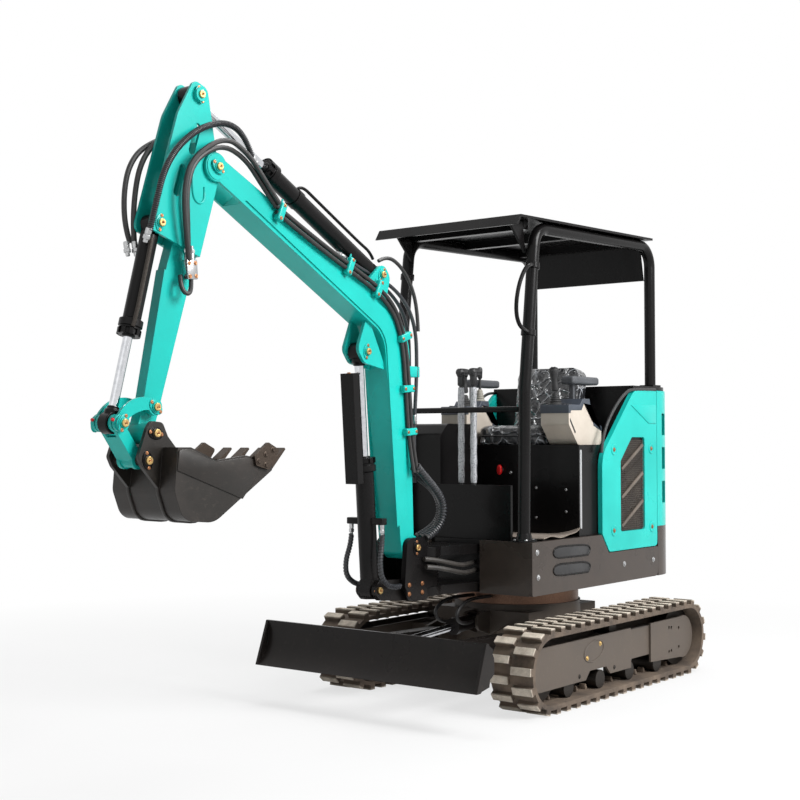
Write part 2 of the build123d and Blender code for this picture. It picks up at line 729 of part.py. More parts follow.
def house_deck():
    """Turntable plate, the boom's post box in front and the cab floor's bearers."""
    inset = SKIRT_PLATE + PANEL_GAP
    half = HOUSE_HALF_WIDTH - inset
    front = HOUSE_FRONT - inset
    floor_low = DECK_TOP - FLOOR_PLATE
    deck = block(COUNTERWEIGHT_FRONT, front, -half, half, HOUSE_LOW, HOUSE_LOW + DECK_PLATE)
    deck += block(BULKHEAD_X, front, -POST_WIDTH / 2, POST_WIDTH / 2, HOUSE_LOW, floor_low)
    for low, high in ((POST_LOWER_LOW, POST_LOWER_HIGH), (POST_UPPER_LOW, POST_UPPER_HIGH)):
        lug = upright((SWING_X, 0), POST_LUG_RADIUS, low, high)
        tongue = [
            (front - 20, -POST_WIDTH / 2),
            (front - 20, POST_WIDTH / 2),
            (SWING_X, POST_NECK / 2),
            (SWING_X, -POST_NECK / 2),
        ]
        deck += lug + extrude(
            Plane.XY.offset(low) * make_face(Polyline(*tongue, close=True)), high - low, dir=(0, 0, 1)
        )
    deck += upright((SWING_X, 0), SWING_PIN_RADIUS, POST_LOWER_LOW, POST_UPPER_HIGH)
    return deck


def floor_plate():
    half = HOUSE_HALF_WIDTH - SKIRT_PLATE - PANEL_GAP
    return block(
        BULKHEAD_X, HOUSE_FRONT - SKIRT_PLATE - PANEL_GAP, -half, half, DECK_TOP - FLOOR_PLATE, DECK_TOP
    )


def left_skirt():
    """Side cover with its return across the front, stepped down under the side panel."""
    outer = HOUSE_HALF_WIDTH
    inner = outer - SKIRT_PLATE
    outline = [
        (SKIRT_REAR, HOUSE_LOW),
        (HOUSE_FRONT, HOUSE_LOW),
        (HOUSE_FRONT, DECK_TOP),
        (PANEL_FRONT + 2 * PANEL_GAP, DECK_TOP),
        (PANEL_TOE + 2 * PANEL_GAP, SKIRT_STEP_Z),
        (SKIRT_REAR, SKIRT_STEP_Z),
    ]
    side = slab(outline, inner, outer, [30, 14, 0, 16, 20, 10])
    front = block(
        HOUSE_FRONT - SKIRT_PLATE, HOUSE_FRONT, POST_WIDTH / 2 + PANEL_GAP, inner, HOUSE_LOW, DECK_TOP
    )
    return side + front


def counterweight():
    shape = tail_outline(0, COUNTERWEIGHT_FRONT - SEAT_GAP)
    return extrude(Plane.XY.offset(HOUSE_LOW) * shape, COUNTERWEIGHT_TOP - HOUSE_LOW, dir=(0, 0, 1))


def panel_outline():
    return [
        (PANEL_REAR, SKIRT_STEP_Z + PANEL_GAP),
        (PANEL_TOE, SKIRT_STEP_Z + PANEL_GAP),
        (PANEL_FRONT, DECK_TOP + PANEL_GAP),
        (PANEL_FRONT, PANEL_CURVE_LOW),
        (PANEL_CURVE_TOP, PANEL_TOP),
        (PANEL_REAR, PANEL_TOP),
    ]


def window_outline(inset):
    return [
        (WINDOW_REAR + inset, WINDOW_LOW + inset),
        (WINDOW_FRONT - inset, WINDOW_LOW + inset),
        (WINDOW_FRONT - inset, WINDOW_HIGH - WINDOW_CUT - inset),
        (WINDOW_FRONT - WINDOW_CUT - inset, WINDOW_HIGH - inset),
        (WINDOW_REAR + inset, WINDOW_HIGH - inset),
    ]


def left_side_panel():
    outer = HOUSE_HALF_WIDTH
    panel = slab(panel_outline(), outer - PANEL_PLATE, outer, [24, 20, 20, 160, 120, 14])
    return panel - slab(window_outline(0), outer - 2 * PANEL_PLATE, outer + PANEL_PLATE, [14] * 5)


def left_grille():
    """Mesh plate seated in the panel's window, with three slanting bars."""
    outer = HOUSE_HALF_WIDTH - PANEL_PLATE / 2
    frame = slab(window_outline(SEAT_GAP), outer - GRILLE_PLATE, outer, [14] * 5)
    step = (WINDOW_HIGH - WINDOW_LOW - WINDOW_CUT) / 3
    for number in range(3):
        z = WINDOW_LOW + 20 + number * step
        bar = [
            (WINDOW_REAR + 12, z + 110),
            (WINDOW_FRONT - 12, z),
            (WINDOW_FRONT - 12, z + GRILLE_BAR),
            (WINDOW_REAR + 12, z + 110 + GRILLE_BAR),
        ]
        frame += slab(bar, outer, outer + GRILLE_PLATE / 2)
    return frame


def engine_cover():
    """Black bulkhead behind the seat and the flat cover over the engine."""
    half = HOUSE_HALF_WIDTH - PANEL_PLATE - PANEL_GAP
    wall = block(
        BULKHEAD_X - COVER_PLATE, BULKHEAD_X, -half, half, DECK_TOP - FLOOR_PLATE, PANEL_TOP + PANEL_GAP
    )
    top = extrude(
        Plane.XY.offset(PANEL_TOP + PANEL_GAP) * tail_outline(8, BULKHEAD_X), COVER_PLATE, dir=(0, 0, 1)
    )
    return wall + top


def engine_block():
    front = BULKHEAD_X - COVER_PLATE - 40
    return block(
        front - ENGINE_LENGTH,
        front,
        -ENGINE_WIDTH / 2,
        ENGINE_WIDTH / 2,
        HOUSE_LOW + DECK_PLATE,
        ENGINE_LOW + ENGINE_HEIGHT,
    ) - block(
        front - ENGINE_LENGTH - 1,
        COUNTERWEIGHT_FRONT + PANEL_GAP,
        -ENGINE_WIDTH,
        ENGINE_WIDTH,
        HOUSE_LOW,
        COUNTERWEIGHT_TOP + PANEL_GAP,
    )


def hinge_leaf(toward, z_low, z_high):
    """Knuckle on the hood's hinge line with its leaf on the outer face, toward +X or -X."""
    leaf_end = HINGE_X + toward * HINGE_LEAF_LENGTH
    low, high = min(HINGE_X, leaf_end), max(HINGE_X, leaf_end)
    leaf = block(low, high, -HOUSE_HALF_WIDTH - HINGE_LEAF, -HOUSE_HALF_WIDTH, z_low, z_high)
    return leaf + upright((HINGE_X, HINGE_Y), HINGE_RADIUS, z_low, z_high)


def right_side_panel():
    """The left panel's twin, carrying the pinned middle knuckles of the hood's two hinges."""
    panel = other_side(left_side_panel())
    third = HINGE_HEIGHT / 6
    for z in HINGE_PLACES:
        panel += hinge_leaf(1, z - third + SIDE_GAP, z + third - SIDE_GAP)
        panel += upright((HINGE_X, HINGE_Y), HINGE_PIN, z - 3 * third, z + 3 * third)
    return panel


def rear_hood():
    """Shell round the tail, hinged at its right-hand front edge, with slots beside the split line."""
    low = COUNTERWEIGHT_TOP + SEAT_GAP
    high = PANEL_TOP
    front = PANEL_REAR - PANEL_GAP
    hood = extrude(
        Plane.XY.offset(low) * (tail_outline(0, front) - tail_outline(HOOD_PLATE, front + 1)),
        high - low,
        dir=(0, 0, 1),
    )
    slot_z = (low + high) / 2
    pitch = HOOD_SLOT_LENGTH / HOOD_SLOT_COUNT
    for number in range(HOOD_SLOT_COUNT):
        z = slot_z + (number - (HOOD_SLOT_COUNT - 1) / 2) * pitch
        hood -= block(
            front - 120,
            front - 60,
            -HOUSE_HALF_WIDTH,
            HOUSE_HALF_WIDTH,
            z - HOOD_SLOT_HEIGHT / 2,
            z + HOOD_SLOT_HEIGHT / 2,
        )
    third = HINGE_HEIGHT / 6
    for z in HINGE_PLACES:
        for low in (z - 3 * third, z + third):
            hood += hinge_leaf(-1, low, low + 2 * third)
        hood -= upright((HINGE_X, HINGE_Y), HINGE_PIN + PIN_CLEARANCE, z - HINGE_HEIGHT, z + HINGE_HEIGHT)
    return hood


def seat_box():
    return block(
        BULKHEAD_X + SEAT_GAP, SEAT_BOX_FRONT, SEAT_BOX_RIGHT, SEAT_BOX_LEFT, DECK_TOP, SEAT_BOX_TOP
    )


def seat_cushion():
    half = CUSHION_WIDTH / 2
    low = SEAT_BOX_TOP + SEAT_GAP
    pad = block(
        SEAT_BOX_FRONT - CUSHION_LENGTH,
        SEAT_BOX_FRONT,
        SEAT_CENTRE - half,
        SEAT_CENTRE + half,
        low,
        low + CUSHION_HEIGHT,
    )
    return fillet(pad.edges().filter_by(Axis.Z), 50)


def seat_back():
    half = CUSHION_WIDTH / 2 - 10
    foot = SEAT_BOX_FRONT - CUSHION_LENGTH - SEAT_GAP
    low = SEAT_BOX_TOP + SEAT_GAP
    pad = block(-BACK_THICK, 0, SEAT_CENTRE - half, SEAT_CENTRE + half, 0, BACK_HEIGHT)
    pad = fillet(pad.edges().filter_by(Axis.X), 60)
    leaning = Pos(foot - 8, 0, low + 24) * Rot(0, -BACK_LEAN, 0) * pad
    mount = block(
        foot - BACK_THICK, foot - 40, SEAT_CENTRE - half + 80, SEAT_CENTRE + half - 80, low, low + 60
    )
    return leaning + mount


def left_console():
    """Moulded arm console beside the seat, carried on the seat box."""
    inner, outer = CONSOLE_INNER, CONSOLE_INNER + CONSOLE_WIDTH
    outline = [
        (CONSOLE_REAR, SEAT_BOX_TOP + SEAT_GAP),
        (CONSOLE_FRONT - 90, SEAT_BOX_TOP + SEAT_GAP),
        (CONSOLE_FRONT, CONSOLE_TOP - 130),
        (CONSOLE_FRONT, CONSOLE_TOP - CONSOLE_STEP),
        (CONSOLE_FRONT - 116, CONSOLE_TOP - CONSOLE_STEP),
        (CONSOLE_FRONT - 140, CONSOLE_TOP),
        (CONSOLE_FRONT - 204, CONSOLE_TOP),
        (CONSOLE_FRONT - 230, CONSOLE_TOP - 110),
        (CONSOLE_REAR, CONSOLE_TOP - 140),
    ]
    return slab(outline, inner, outer, [20, 30, 20, 16, 6, 12, 16, 30, 20])


def left_armrest():
    middle = CONSOLE_INNER + CONSOLE_WIDTH / 2
    front = CONSOLE_FRONT - 120
    foot_x = front - 42
    pad = block(
        front - ARMREST_LENGTH,
        front,
        middle - ARMREST_WIDTH / 2,
        middle + ARMREST_WIDTH / 2,
        ARMREST_TOP - ARMREST_THICK,
        ARMREST_TOP,
    )
    pad = fillet(pad.edges(), 14)
    return pad + block(
        foot_x - 20,
        foot_x,
        middle - 12,
        middle + 12,
        CONSOLE_TOP + SEAT_GAP,
        ARMREST_TOP - ARMREST_THICK + 4,
    )


def left_joystick():
    middle = CONSOLE_INNER + CONSOLE_WIDTH / 2 - 30
    x = CONSOLE_FRONT - 58
    foot = CONSOLE_TOP - CONSOLE_STEP + SEAT_GAP
    boot = Pos(x, middle, foot) * Cone(36, 18, 70, align=(Align.CENTER, Align.CENTER, Align.MIN))
    shaft = upright((x, middle), STICK_RADIUS, foot + 60, foot + STICK_HEIGHT - 90)
    grip = upright((x, middle), GRIP_RADIUS, foot + STICK_HEIGHT - 100, foot + STICK_HEIGHT)
    return boot + shaft + fillet(grip.edges(), 8)


def travel_levers():
    """Two levers standing in the floor, each with a cross grip."""
    levers = []
    for y in (-LEVER_SPREAD / 2, LEVER_SPREAD / 2):
        shaft = upright((LEVER_X, y), LEVER_RADIUS, DECK_TOP + SEAT_GAP, LEVER_TOP)
        grip = Pos(LEVER_X - 12, y, LEVER_TOP + 20) * Box(70, 34, 44)
        levers.append(shaft + fillet(grip.edges(), 12))
    return levers


def floor_mat():
    left = HOUSE_HALF_WIDTH - SKIRT_PLATE - PANEL_GAP
    return block(
        SEAT_BOX_FRONT + SEAT_GAP,
        SEAT_BOX_FRONT + MAT_LENGTH,
        left - MAT_WIDTH,
        left,
        DECK_TOP + SEAT_GAP,
        DECK_TOP + MAT_THICK,
    )


def front_panel():
    low = DECK_TOP
    return block(
        FRONT_PANEL_X - FRONT_PANEL_PLATE,
        FRONT_PANEL_X,
        SIDE_BOX_WIDTH - HOUSE_HALF_WIDTH + PANEL_GAP,
        FRONT_PANEL_LEFT,
        low,
        FRONT_PANEL_TOP,
    )


def side_box():
    """Cover on the right, over the tank and valves."""
    low = -HOUSE_HALF_WIDTH + SKIRT_PLATE + PANEL_GAP
    outline = [
        (SIDE_BOX_REAR, DECK_TOP),
        (SIDE_BOX_FRONT, DECK_TOP),
        (SIDE_BOX_FRONT, SIDE_BOX_TOP - 60),
        (SIDE_BOX_FRONT - 60, SIDE_BOX_TOP),
        (SIDE_BOX_REAR, SIDE_BOX_TOP),
    ]
    return slab(outline, low, -HOUSE_HALF_WIDTH + SIDE_BOX_WIDTH, [0, 0, 40, 40, 0])


def canopy_hoop(y):
    """Bent tube from the deck's front corner over the roof line and down to the engine cover."""
    cover_top = PANEL_TOP + PANEL_GAP + COVER_PLATE
    points = [
        (POST_FOOT_X, DECK_TOP),
        (POST_KNEE_X, POST_KNEE_Z),
        (POST_TOP_X, POST_TOP_Z),
        (POST_REAR_X, POST_REAR_Z),
        (POST_REAR_X, cover_top),
    ]
    path = Plane.XZ.offset(-y) * FilletPolyline(*points, radius=[POST_KNEE_BEND, POST_BEND, POST_BEND])
    start = path @ 0
    section = Plane(start, z_dir=path % 0) * Circle(POST_RADIUS)
    tube = sweep(section, path=path)
    feet = block(POST_FOOT_X - 50, POST_FOOT_X + 14, y - 42, y + 42, DECK_TOP, DECK_TOP + 12)
    feet += block(POST_REAR_X - 45, POST_REAR_X + 45, y - 42, y + 42, cover_top, cover_top + 12)
    return tube - block(-2000, 2000, y - 100, y + 100, 0, DECK_TOP) + feet


def hoop_line(x):
    """Height of the hoops' upper run at a place along the machine."""
    return POST_TOP_Z + (x - POST_TOP_X) * (POST_REAR_Z - POST_TOP_Z) / (POST_REAR_X - POST_TOP_X)


def canopy_roof():
    """Roof plate on the two hoops, its front lip leaning out and its rear bent down as a visor."""
    lift = POST_RADIUS + SEAT_GAP
    front, rear = hoop_line(ROOF_FRONT) + lift, hoop_line(ROOF_REAR) + lift
    plate = [
        (ROOF_FRONT, front),
        (ROOF_REAR, rear),
        (ROOF_REAR, rear + ROOF_PLATE),
        (ROOF_FRONT, front + ROOF_PLATE),
    ]
    roof = slab(plate, -ROOF_HALF_WIDTH, ROOF_HALF_WIDTH)
    lip = [
        (ROOF_FRONT - ROOF_PLATE, front + ROOF_PLATE),
        (ROOF_FRONT, front + ROOF_PLATE),
        (ROOF_FRONT + ROOF_LIP_LEAN, front + ROOF_PLATE - ROOF_LIP),
        (ROOF_FRONT + ROOF_LIP_LEAN - ROOF_PLATE, front + ROOF_PLATE - ROOF_LIP),
    ]
    roof += slab(lip, -ROOF_HALF_WIDTH, ROOF_HALF_WIDTH)
    inside = POST_SPREAD / 2 - POST_RADIUS - PANEL_GAP
    visor = [
        (ROOF_REAR, rear + ROOF_PLATE),
        (ROOF_REAR + VISOR_PLATE, rear + ROOF_PLATE),
        (POST_REAR_X + VISOR_PLATE, rear - VISOR_DROP),
        (POST_REAR_X, rear - VISOR_DROP),
    ]
    roof += slab(visor, -inside, inside)
    gusset = [
        (ROOF_FRONT - ROOF_PLATE, front),
        (ROOF_FRONT - ROOF_PLATE - GUSSET_LENGTH, front),
        (POST_TOP_X + POST_RADIUS, front - GUSSET_DROP),
    ]
    roof += both(slab(gusset, inside - VISOR_PLATE, inside))
    for x in (
        ROOF_FRONT - GUSSET_LENGTH - ROOF_SIDE, (ROOF_FRONT + ROOF_REAR) / 2, ROOF_REAR + 3 * ROOF_SIDE
    ):
        z = hoop_line(x) + lift
        roof += block(
            x - ROOF_SIDE / 2, x + ROOF_SIDE / 2, -inside, inside, z - ROOF_SIDE, z + ROOF_PLATE / 2
        )
    return roof


def front_rail():
    """Rail across the front, between the two front posts."""
    half = POST_SPREAD / 2 - POST_RADIUS - SEAT_GAP
    x = POST_KNEE_X + (POST_FOOT_X - POST_KNEE_X) * (POST_KNEE_Z - RAIL_Z) / (POST_KNEE_Z - DECK_TOP)
    return disc((x, RAIL_Z), RAIL_RADIUS, -half, half)


def swing_bracket():
    """Two cheeks on a post sleeve, carrying the boom's foot pin and the boom cylinder's base pin."""
    outline = [
        (CHEEK_REAR, CHEEK_LOW),
        (CHEEK_FRONT - 60, CHEEK_LOW),
        (CHEEK_FRONT, CHEEK_LOW + 70),
        (CHEEK_FRONT - 20, CHEEK_TOP),
        (CHEEK_REAR, CHEEK_TOP),
    ]
    bracket = ears(outline, CHEEK_INNER, CHEEK, [10, 30, 30, 40, 10])
    sleeve_low = POST_LOWER_HIGH + SIDE_GAP
    sleeve_high = POST_UPPER_LOW - SIDE_GAP
    bracket += upright((SWING_X, 0), POST_LUG_RADIUS - 12, sleeve_low, sleeve_high)
    bracket += block(SWING_X, CHEEK_REAR + 30, -CHEEK_OUTER, CHEEK_OUTER, sleeve_low, sleeve_high)
    web_rear = SWING_X + POST_LUG_RADIUS + 2 * SIDE_GAP
    bracket += block(web_rear, CHEEK_FRONT - 60, -CHEEK_INNER, CHEEK_INNER, CHEEK_LOW, CHEEK_LOW + 60)
    nose = [
        (CHEEK_FRONT - 80, CHEEK_LOW),
        (BOOM_RAM_BASE_X, BOOM_RAM_BASE_Z - 46),
        (BOOM_RAM_BASE_X + 46, BOOM_RAM_BASE_Z),
        (BOOM_RAM_BASE_X, BOOM_RAM_BASE_Z + 46),
        (CHEEK_FRONT - 80, CHEEK_LOW + 100),
    ]
    bracket += ears(nose, RAM_EAR_INNER, RAM_EAR + 8, [0, 30, 30, 30, 0])
    bracket += disc(BOOM_FOOT, PIN_RADIUS, -CHEEK_OUTER - PIN_HEAD, CHEEK_OUTER + PIN_HEAD)
    bracket += disc(BOOM_RAM_BASE, PIN_RADIUS, -RAM_EAR_INNER - RAM_EAR, RAM_EAR_INNER + RAM_EAR)
    return bracket - upright((SWING_X, 0), SWING_PIN_RADIUS + PIN_CLEARANCE, 0, DECK_TOP)


def boom():
    """Bent box boom with a forked tip, ears for its own cylinder below and the arm cylinder above."""
    local = [
        (-8, -96),
        (BOOM_BELLY_ALONG, BOOM_BELLY_RISE),
        (BOOM_LENGTH, -BOOM_TIP_BOSS + 12),
        (BOOM_LENGTH, BOOM_TIP_BOSS - 4),
        (BOOM_BACK_ALONG, BOOM_BACK_RISE),
        (0, BOOM_FOOT_BOSS - 34),
    ]
    points = [on_boom(*place) for place in local]
    body = slab(points, -BOOM_HALF_WIDTH, BOOM_HALF_WIDTH, [30, 140, 0, 0, 300, 0])
    body += disc(BOOM_FOOT, BOOM_FOOT_BOSS, -BOOM_HALF_WIDTH, BOOM_HALF_WIDTH)
    body += disc(BOOM_TIP, BOOM_TIP_BOSS, -BOOM_HALF_WIDTH, BOOM_HALF_WIDTH)
    slot = [
        on_boom(BOOM_LENGTH - BOOM_FORK, -300),
        on_boom(BOOM_LENGTH + 200, -300),
        on_boom(BOOM_LENGTH + 200, 300),
        on_boom(BOOM_LENGTH - BOOM_FORK, 300),
    ]
    body -= slab(slot, -BOOM_EAR_INNER, BOOM_EAR_INNER)
    raised = [
        on_boom(BOOM_FOOT_BOSS + 2 * SIDE_PLATE_INSET, -BOOM_FOOT_BOSS / 2),
        on_boom(BOOM_BELLY_ALONG, BOOM_BELLY_RISE + 2 * SIDE_PLATE),
        on_boom(BOOM_LENGTH - BOOM_FORK, BOOM_TIP_BOSS),
        on_boom(BOOM_BACK_ALONG, BOOM_BACK_RISE - SIDE_PLATE_INSET),
        on_boom(BOOM_FOOT_BOSS + 2 * SIDE_PLATE_INSET, BOOM_FOOT_BOSS),
    ]
    body += ears(raised, BOOM_HALF_WIDTH, SIDE_PLATE, [0, 140, 0, 260, 0])
    for place, radius in ((BOOM_FOOT, BOOM_FOOT_BOSS), (BOOM_TIP, BOOM_TIP_BOSS - SIDE_PLATE)):
        body += disc(place, radius, BOOM_HALF_WIDTH, BOOM_HALF_WIDTH + SIDE_PLATE / 2)
        body += disc(place, radius, -BOOM_HALF_WIDTH - SIDE_PLATE / 2, -BOOM_HALF_WIDTH)
    under = [
        on_boom(BOOM_RAM_ALONG - 150, BOOM_RAM_RISE + 60),
        on_boom(BOOM_RAM_ALONG - 30, BOOM_RAM_RISE - 46),
        on_boom(BOOM_RAM_ALONG + 46, BOOM_RAM_RISE - 46),
        on_boom(BOOM_RAM_ALONG + 130, BOOM_RAM_RISE + 110),
    ]
    body += ears(under, RAM_EAR_INNER, RAM_EAR, [0, 40, 40, 0])
    over = [
        on_boom(ARM_RAM_ALONG - 140, ARM_RAM_RISE - 90),
        on_boom(ARM_RAM_ALONG + 36, ARM_RAM_RISE - 172),
        on_boom(ARM_RAM_ALONG + 40, ARM_RAM_RISE + 44),
        on_boom(ARM_RAM_ALONG - 44, ARM_RAM_RISE + 44),
    ]
    body += ears(over, RAM_EAR_INNER, RAM_EAR, [0, 0, 40, 40])
    body += disc(
        ARM_RAM_BASE, PIN_RADIUS, -RAM_EAR_INNER - RAM_EAR - PIN_HEAD, RAM_EAR_INNER + RAM_EAR + PIN_HEAD
    )
    body += disc(BOOM_TIP, PIN_RADIUS, -BOOM_HALF_WIDTH - 2 * PIN_HEAD, BOOM_HALF_WIDTH + 2 * PIN_HEAD)
    for end in (RAM_EAR_INNER + RAM_EAR, -RAM_EAR_INNER - RAM_EAR - PIN_HEAD):
        body += disc(BOOM_RAM_PIN, PIN_RADIUS, end, end + PIN_HEAD)
    return body - disc(BOOM_FOOT, PIN_BORE, -2 * BOOM_HALF_WIDTH, 2 * BOOM_HALF_WIDTH)


def arm():
    """Deep box arm, its side plates standing out in front as a channel for the bucket cylinder."""
    local = [
        (ARM_TAIL_ALONG - 46, ARM_TAIL_RISE + 40),
        (ARM_TAIL_ALONG - 46, ARM_TAIL_RISE - 36),
        (20, -40),
        (ARM_LENGTH, -46),
        (ARM_LENGTH, ARM_TIP_DEPTH - 2),
        (LINK_ALONG, ARM_TIP_DEPTH),
        (BUCKET_RAM_ALONG + 120, ARM_STEP_DEPTH),
        (BUCKET_RAM_ALONG + 46, BUCKET_RAM_RISE - 30),
        (BUCKET_RAM_ALONG + 46, BUCKET_RAM_RISE + 46),
        (ARM_TAIL_ALONG + 120, ARM_DEPTH),
    ]
    points = [on_arm(*place) for place in local]
    rounds = [30, 36, 44, 40, 32, 30, 40, 20, 40, 120]
    shoulder = BUCKET_RAM_ALONG + EYE_RADIUS
    below = [
        on_arm(shoulder, -2 * ARM_DEPTH),
        on_arm(2 * ARM_LENGTH, -2 * ARM_DEPTH),
        on_arm(2 * ARM_LENGTH, 2 * ARM_DEPTH),
        on_arm(shoulder, 2 * ARM_DEPTH),
    ]
    body = slab(points, -ARM_HALF_WIDTH, ARM_HALF_WIDTH, rounds)
    body -= slab(below, -2 * ARM_HALF_WIDTH, 2 * ARM_HALF_WIDTH)
    body += slab(points, -ARM_SLIM_HALF, ARM_SLIM_HALF, rounds)
    inside = ARM_HALF_WIDTH - ARM_PLATE
    channel = [
        on_arm(ARM_TAIL_ALONG - ARM_DEPTH, ARM_CHANNEL_FLOOR),
        on_arm(BUCKET_RAM_ALONG + ARM_CHANNEL_PAST, ARM_CHANNEL_FLOOR),
        on_arm(BUCKET_RAM_ALONG + ARM_CHANNEL_PAST, 2 * ARM_DEPTH),
        on_arm(ARM_TAIL_ALONG - ARM_DEPTH, 2 * ARM_DEPTH),
    ]
    body -= slab(channel, -inside, inside)
    mouth = [
        on_arm(ARM_TAIL_ALONG - 200, -300),
        on_arm(-70, -300),
        on_arm(-70, 600),
        on_arm(ARM_TAIL_ALONG - 200, 600),
    ]
    body -= slab(mouth, -inside, inside)
    for along, rise in ((-60, 128), (130, 150)):
        start, end = on_arm(along - 50, rise), on_arm(along + 50, rise)
        window = disc(
            start, 17, -BOOM_HALF_WIDTH, BOOM_HALF_WIDTH
        ) + disc(end, 17, -BOOM_HALF_WIDTH, BOOM_HALF_WIDTH)
        band = [
            on_arm(along - 50, rise - 17),
            on_arm(along + 50, rise - 17),
            on_arm(along + 50, rise + 17),
            on_arm(along - 50, rise + 17),
        ]
        body -= window + slab(band, -BOOM_HALF_WIDTH, BOOM_HALF_WIDTH)
    tip_half = EAR_INNER - SIDE_GAP
    body += disc(BUCKET_PIN, EYE_RADIUS, -tip_half, tip_half)
    body += disc(LINK_PIN, ARM_LINK_BOSS, -ARM_HALF_WIDTH, ARM_HALF_WIDTH)
    outer = ARM_HALF_WIDTH
    body += disc(BUCKET_RAM_BASE, PIN_RADIUS, -outer - PIN_HEAD, outer + PIN_HEAD)
    body += disc(LINK_PIN, PIN_RADIUS, -LINK_OUTER - PIN_HEAD, LINK_OUTER + PIN_HEAD)
    for end in (outer, -outer - 2 * PIN_HEAD):
        body += disc(ARM_TAIL_PIN, PIN_RADIUS + 8, end, end + 2 * PIN_HEAD)
    body -= disc(BOOM_TIP, PIN_BORE, -BOOM_HALF_WIDTH, BOOM_HALF_WIDTH)
    return body - disc(BUCKET_PIN, PIN_BORE, -2 * BOOM_HALF_WIDTH, 2 * BOOM_HALF_WIDTH)


def side_links():
    """Two arched plates outside the arm, from the link pin to the cylinder rod's pin, bossed at the rod."""
    on_link = frame_at(LINK_PIN, LINK_ANGLE)
    middle = LINK_LENGTH / 2
    over = ThreePointArc(
        on_link(-LINK_EYE, 0), on_link(middle, LINK_ARCH + LINK_BAND), on_link(LINK_LENGTH + LINK_EYE, 0)
    )
    under = ThreePointArc(
        on_link(LINK_LENGTH - LINK_EYE, 0), on_link(middle, LINK_ARCH), on_link(LINK_EYE, 0)
    )
    ends = [
        Line(on_link(LINK_LENGTH + LINK_EYE, 0), on_link(LINK_LENGTH - LINK_EYE, 0)),
        Line(on_link(LINK_EYE, 0), on_link(-LINK_EYE, 0)),
    ]
    face = make_face([over, ends[0], under, ends[1]])
    bar = extrude(Plane.XZ.offset(-LINK_OUTER) * face, LINK_PLATE, dir=(0, -1, 0))
    for place in (LINK_PIN, ROD_PIN):
        bar += disc(place, LINK_EYE, LINK_INNER, LINK_OUTER)
    bar -= disc(LINK_PIN, PIN_BORE, LINK_INNER - 1, LINK_OUTER + 1)
    bar += disc(ROD_PIN, PIN_RADIUS + PIN_HEAD, LINK_OUTER, LINK_OUTER + LINK_PLATE)
    bar += disc(ROD_PIN, PIN_RADIUS, LINK_OUTER + LINK_PLATE, LINK_OUTER + LINK_PLATE + PIN_HEAD)
    return [bar, mirror(bar, about=Plane.XZ)]


def bucket_link():
    """Two tapered plates joined by a cross plate, from the cylinder rod's pin to the bucket's rear pin."""
    length = span(ROD_PIN, BUCKET_LINK_PIN)
    angle = degrees(atan2(BUCKET_LINK_PIN[1] - ROD_PIN[1], BUCKET_LINK_PIN[0] - ROD_PIN[0]))
    on_bar = frame_at(ROD_PIN, angle)
    waist = LINK_EYE - SIDE_GAP * 3
    side = [on_bar(0, -waist), on_bar(length, -waist), on_bar(length, waist), on_bar(0, waist)]
    link = ears(side, FORK_INNER, FORK_PLATE, None)
    for place in (ROD_PIN, BUCKET_LINK_PIN):
        link += both(disc(place, LINK_EYE, FORK_INNER, FORK_OUTER))
    start = EYE_RADIUS + 2 * SIDE_GAP
    cross = [
        on_bar(start, waist - LINK_PLATE),
        on_bar(length, waist - LINK_PLATE),
        on_bar(length, waist),
        on_bar(start, waist),
    ]
    link += slab(cross, -FORK_OUTER, FORK_OUTER)
    link += disc(BUCKET_LINK_PIN, ARM_LINK_BOSS, -FORK_OUTER, FORK_OUTER)
    return link - disc(BUCKET_LINK_PIN, PIN_BORE, -EAR_OUTER, EAR_OUTER)


def bucket():
    """Digging bucket: curved shell between two side plates, torsion box and two ears at the top."""
    half = BUCKET_WIDTH / 2
    t = BUCKET_SHELL
    side = [
        (41, 49),
        (107, 43),
        (242, 81),
        (403, 48),
        (BUCKET_MOUTH, 62),
        (BUCKET_MOUTH, 95),
        (255, BUCKET_DEPTH),
        (95, BUCKET_DEPTH),
        (41, 215),
    ]
    rounds = [8, 8, 60, 40, 0, 0, 120, 70, 60]
    outline = [on_bucket(*place) for place in side]
    shell = slab(outline, -half, half, rounds)
    cavity = [
        (41 + t, -60),
        (BUCKET_MOUTH - 6, -60),
        (BUCKET_MOUTH - 6, 88),
        (252, BUCKET_DEPTH - t),
        (99, BUCKET_DEPTH - t),
        (41 + t, 212),
    ]
    hollow = slab([on_bucket(*place) for place in cavity], t - half, half - t, [0, 0, 0, 110, 62, 52])
    shell -= hollow
    box = [(41, 49), (118, 47), (118, 66), (66, 128), (41, 128)]
    shell += slab([on_bucket(*place) for place in box], -half, half)
    ear = [
        (-52, 130),
        (-74, 96),
        (-44, -10),
        (-26, -44),
        (32, -44),
        (64, 6),
        (112, 47),
        (44, 50),
        (44, 205),
        (36, 205),
    ]
    shell += ears(
        [on_bucket(*place) for place in ear], EAR_INNER, BUCKET_EAR, [30, 20, 20, 24, 24, 20, 0, 0, 0, 0]
    )
    reach = EAR_OUTER + PIN_HEAD
    shell += disc(BUCKET_PIN, PIN_RADIUS, -reach, reach)
    return shell + disc(BUCKET_LINK_PIN, PIN_RADIUS, -reach, reach)


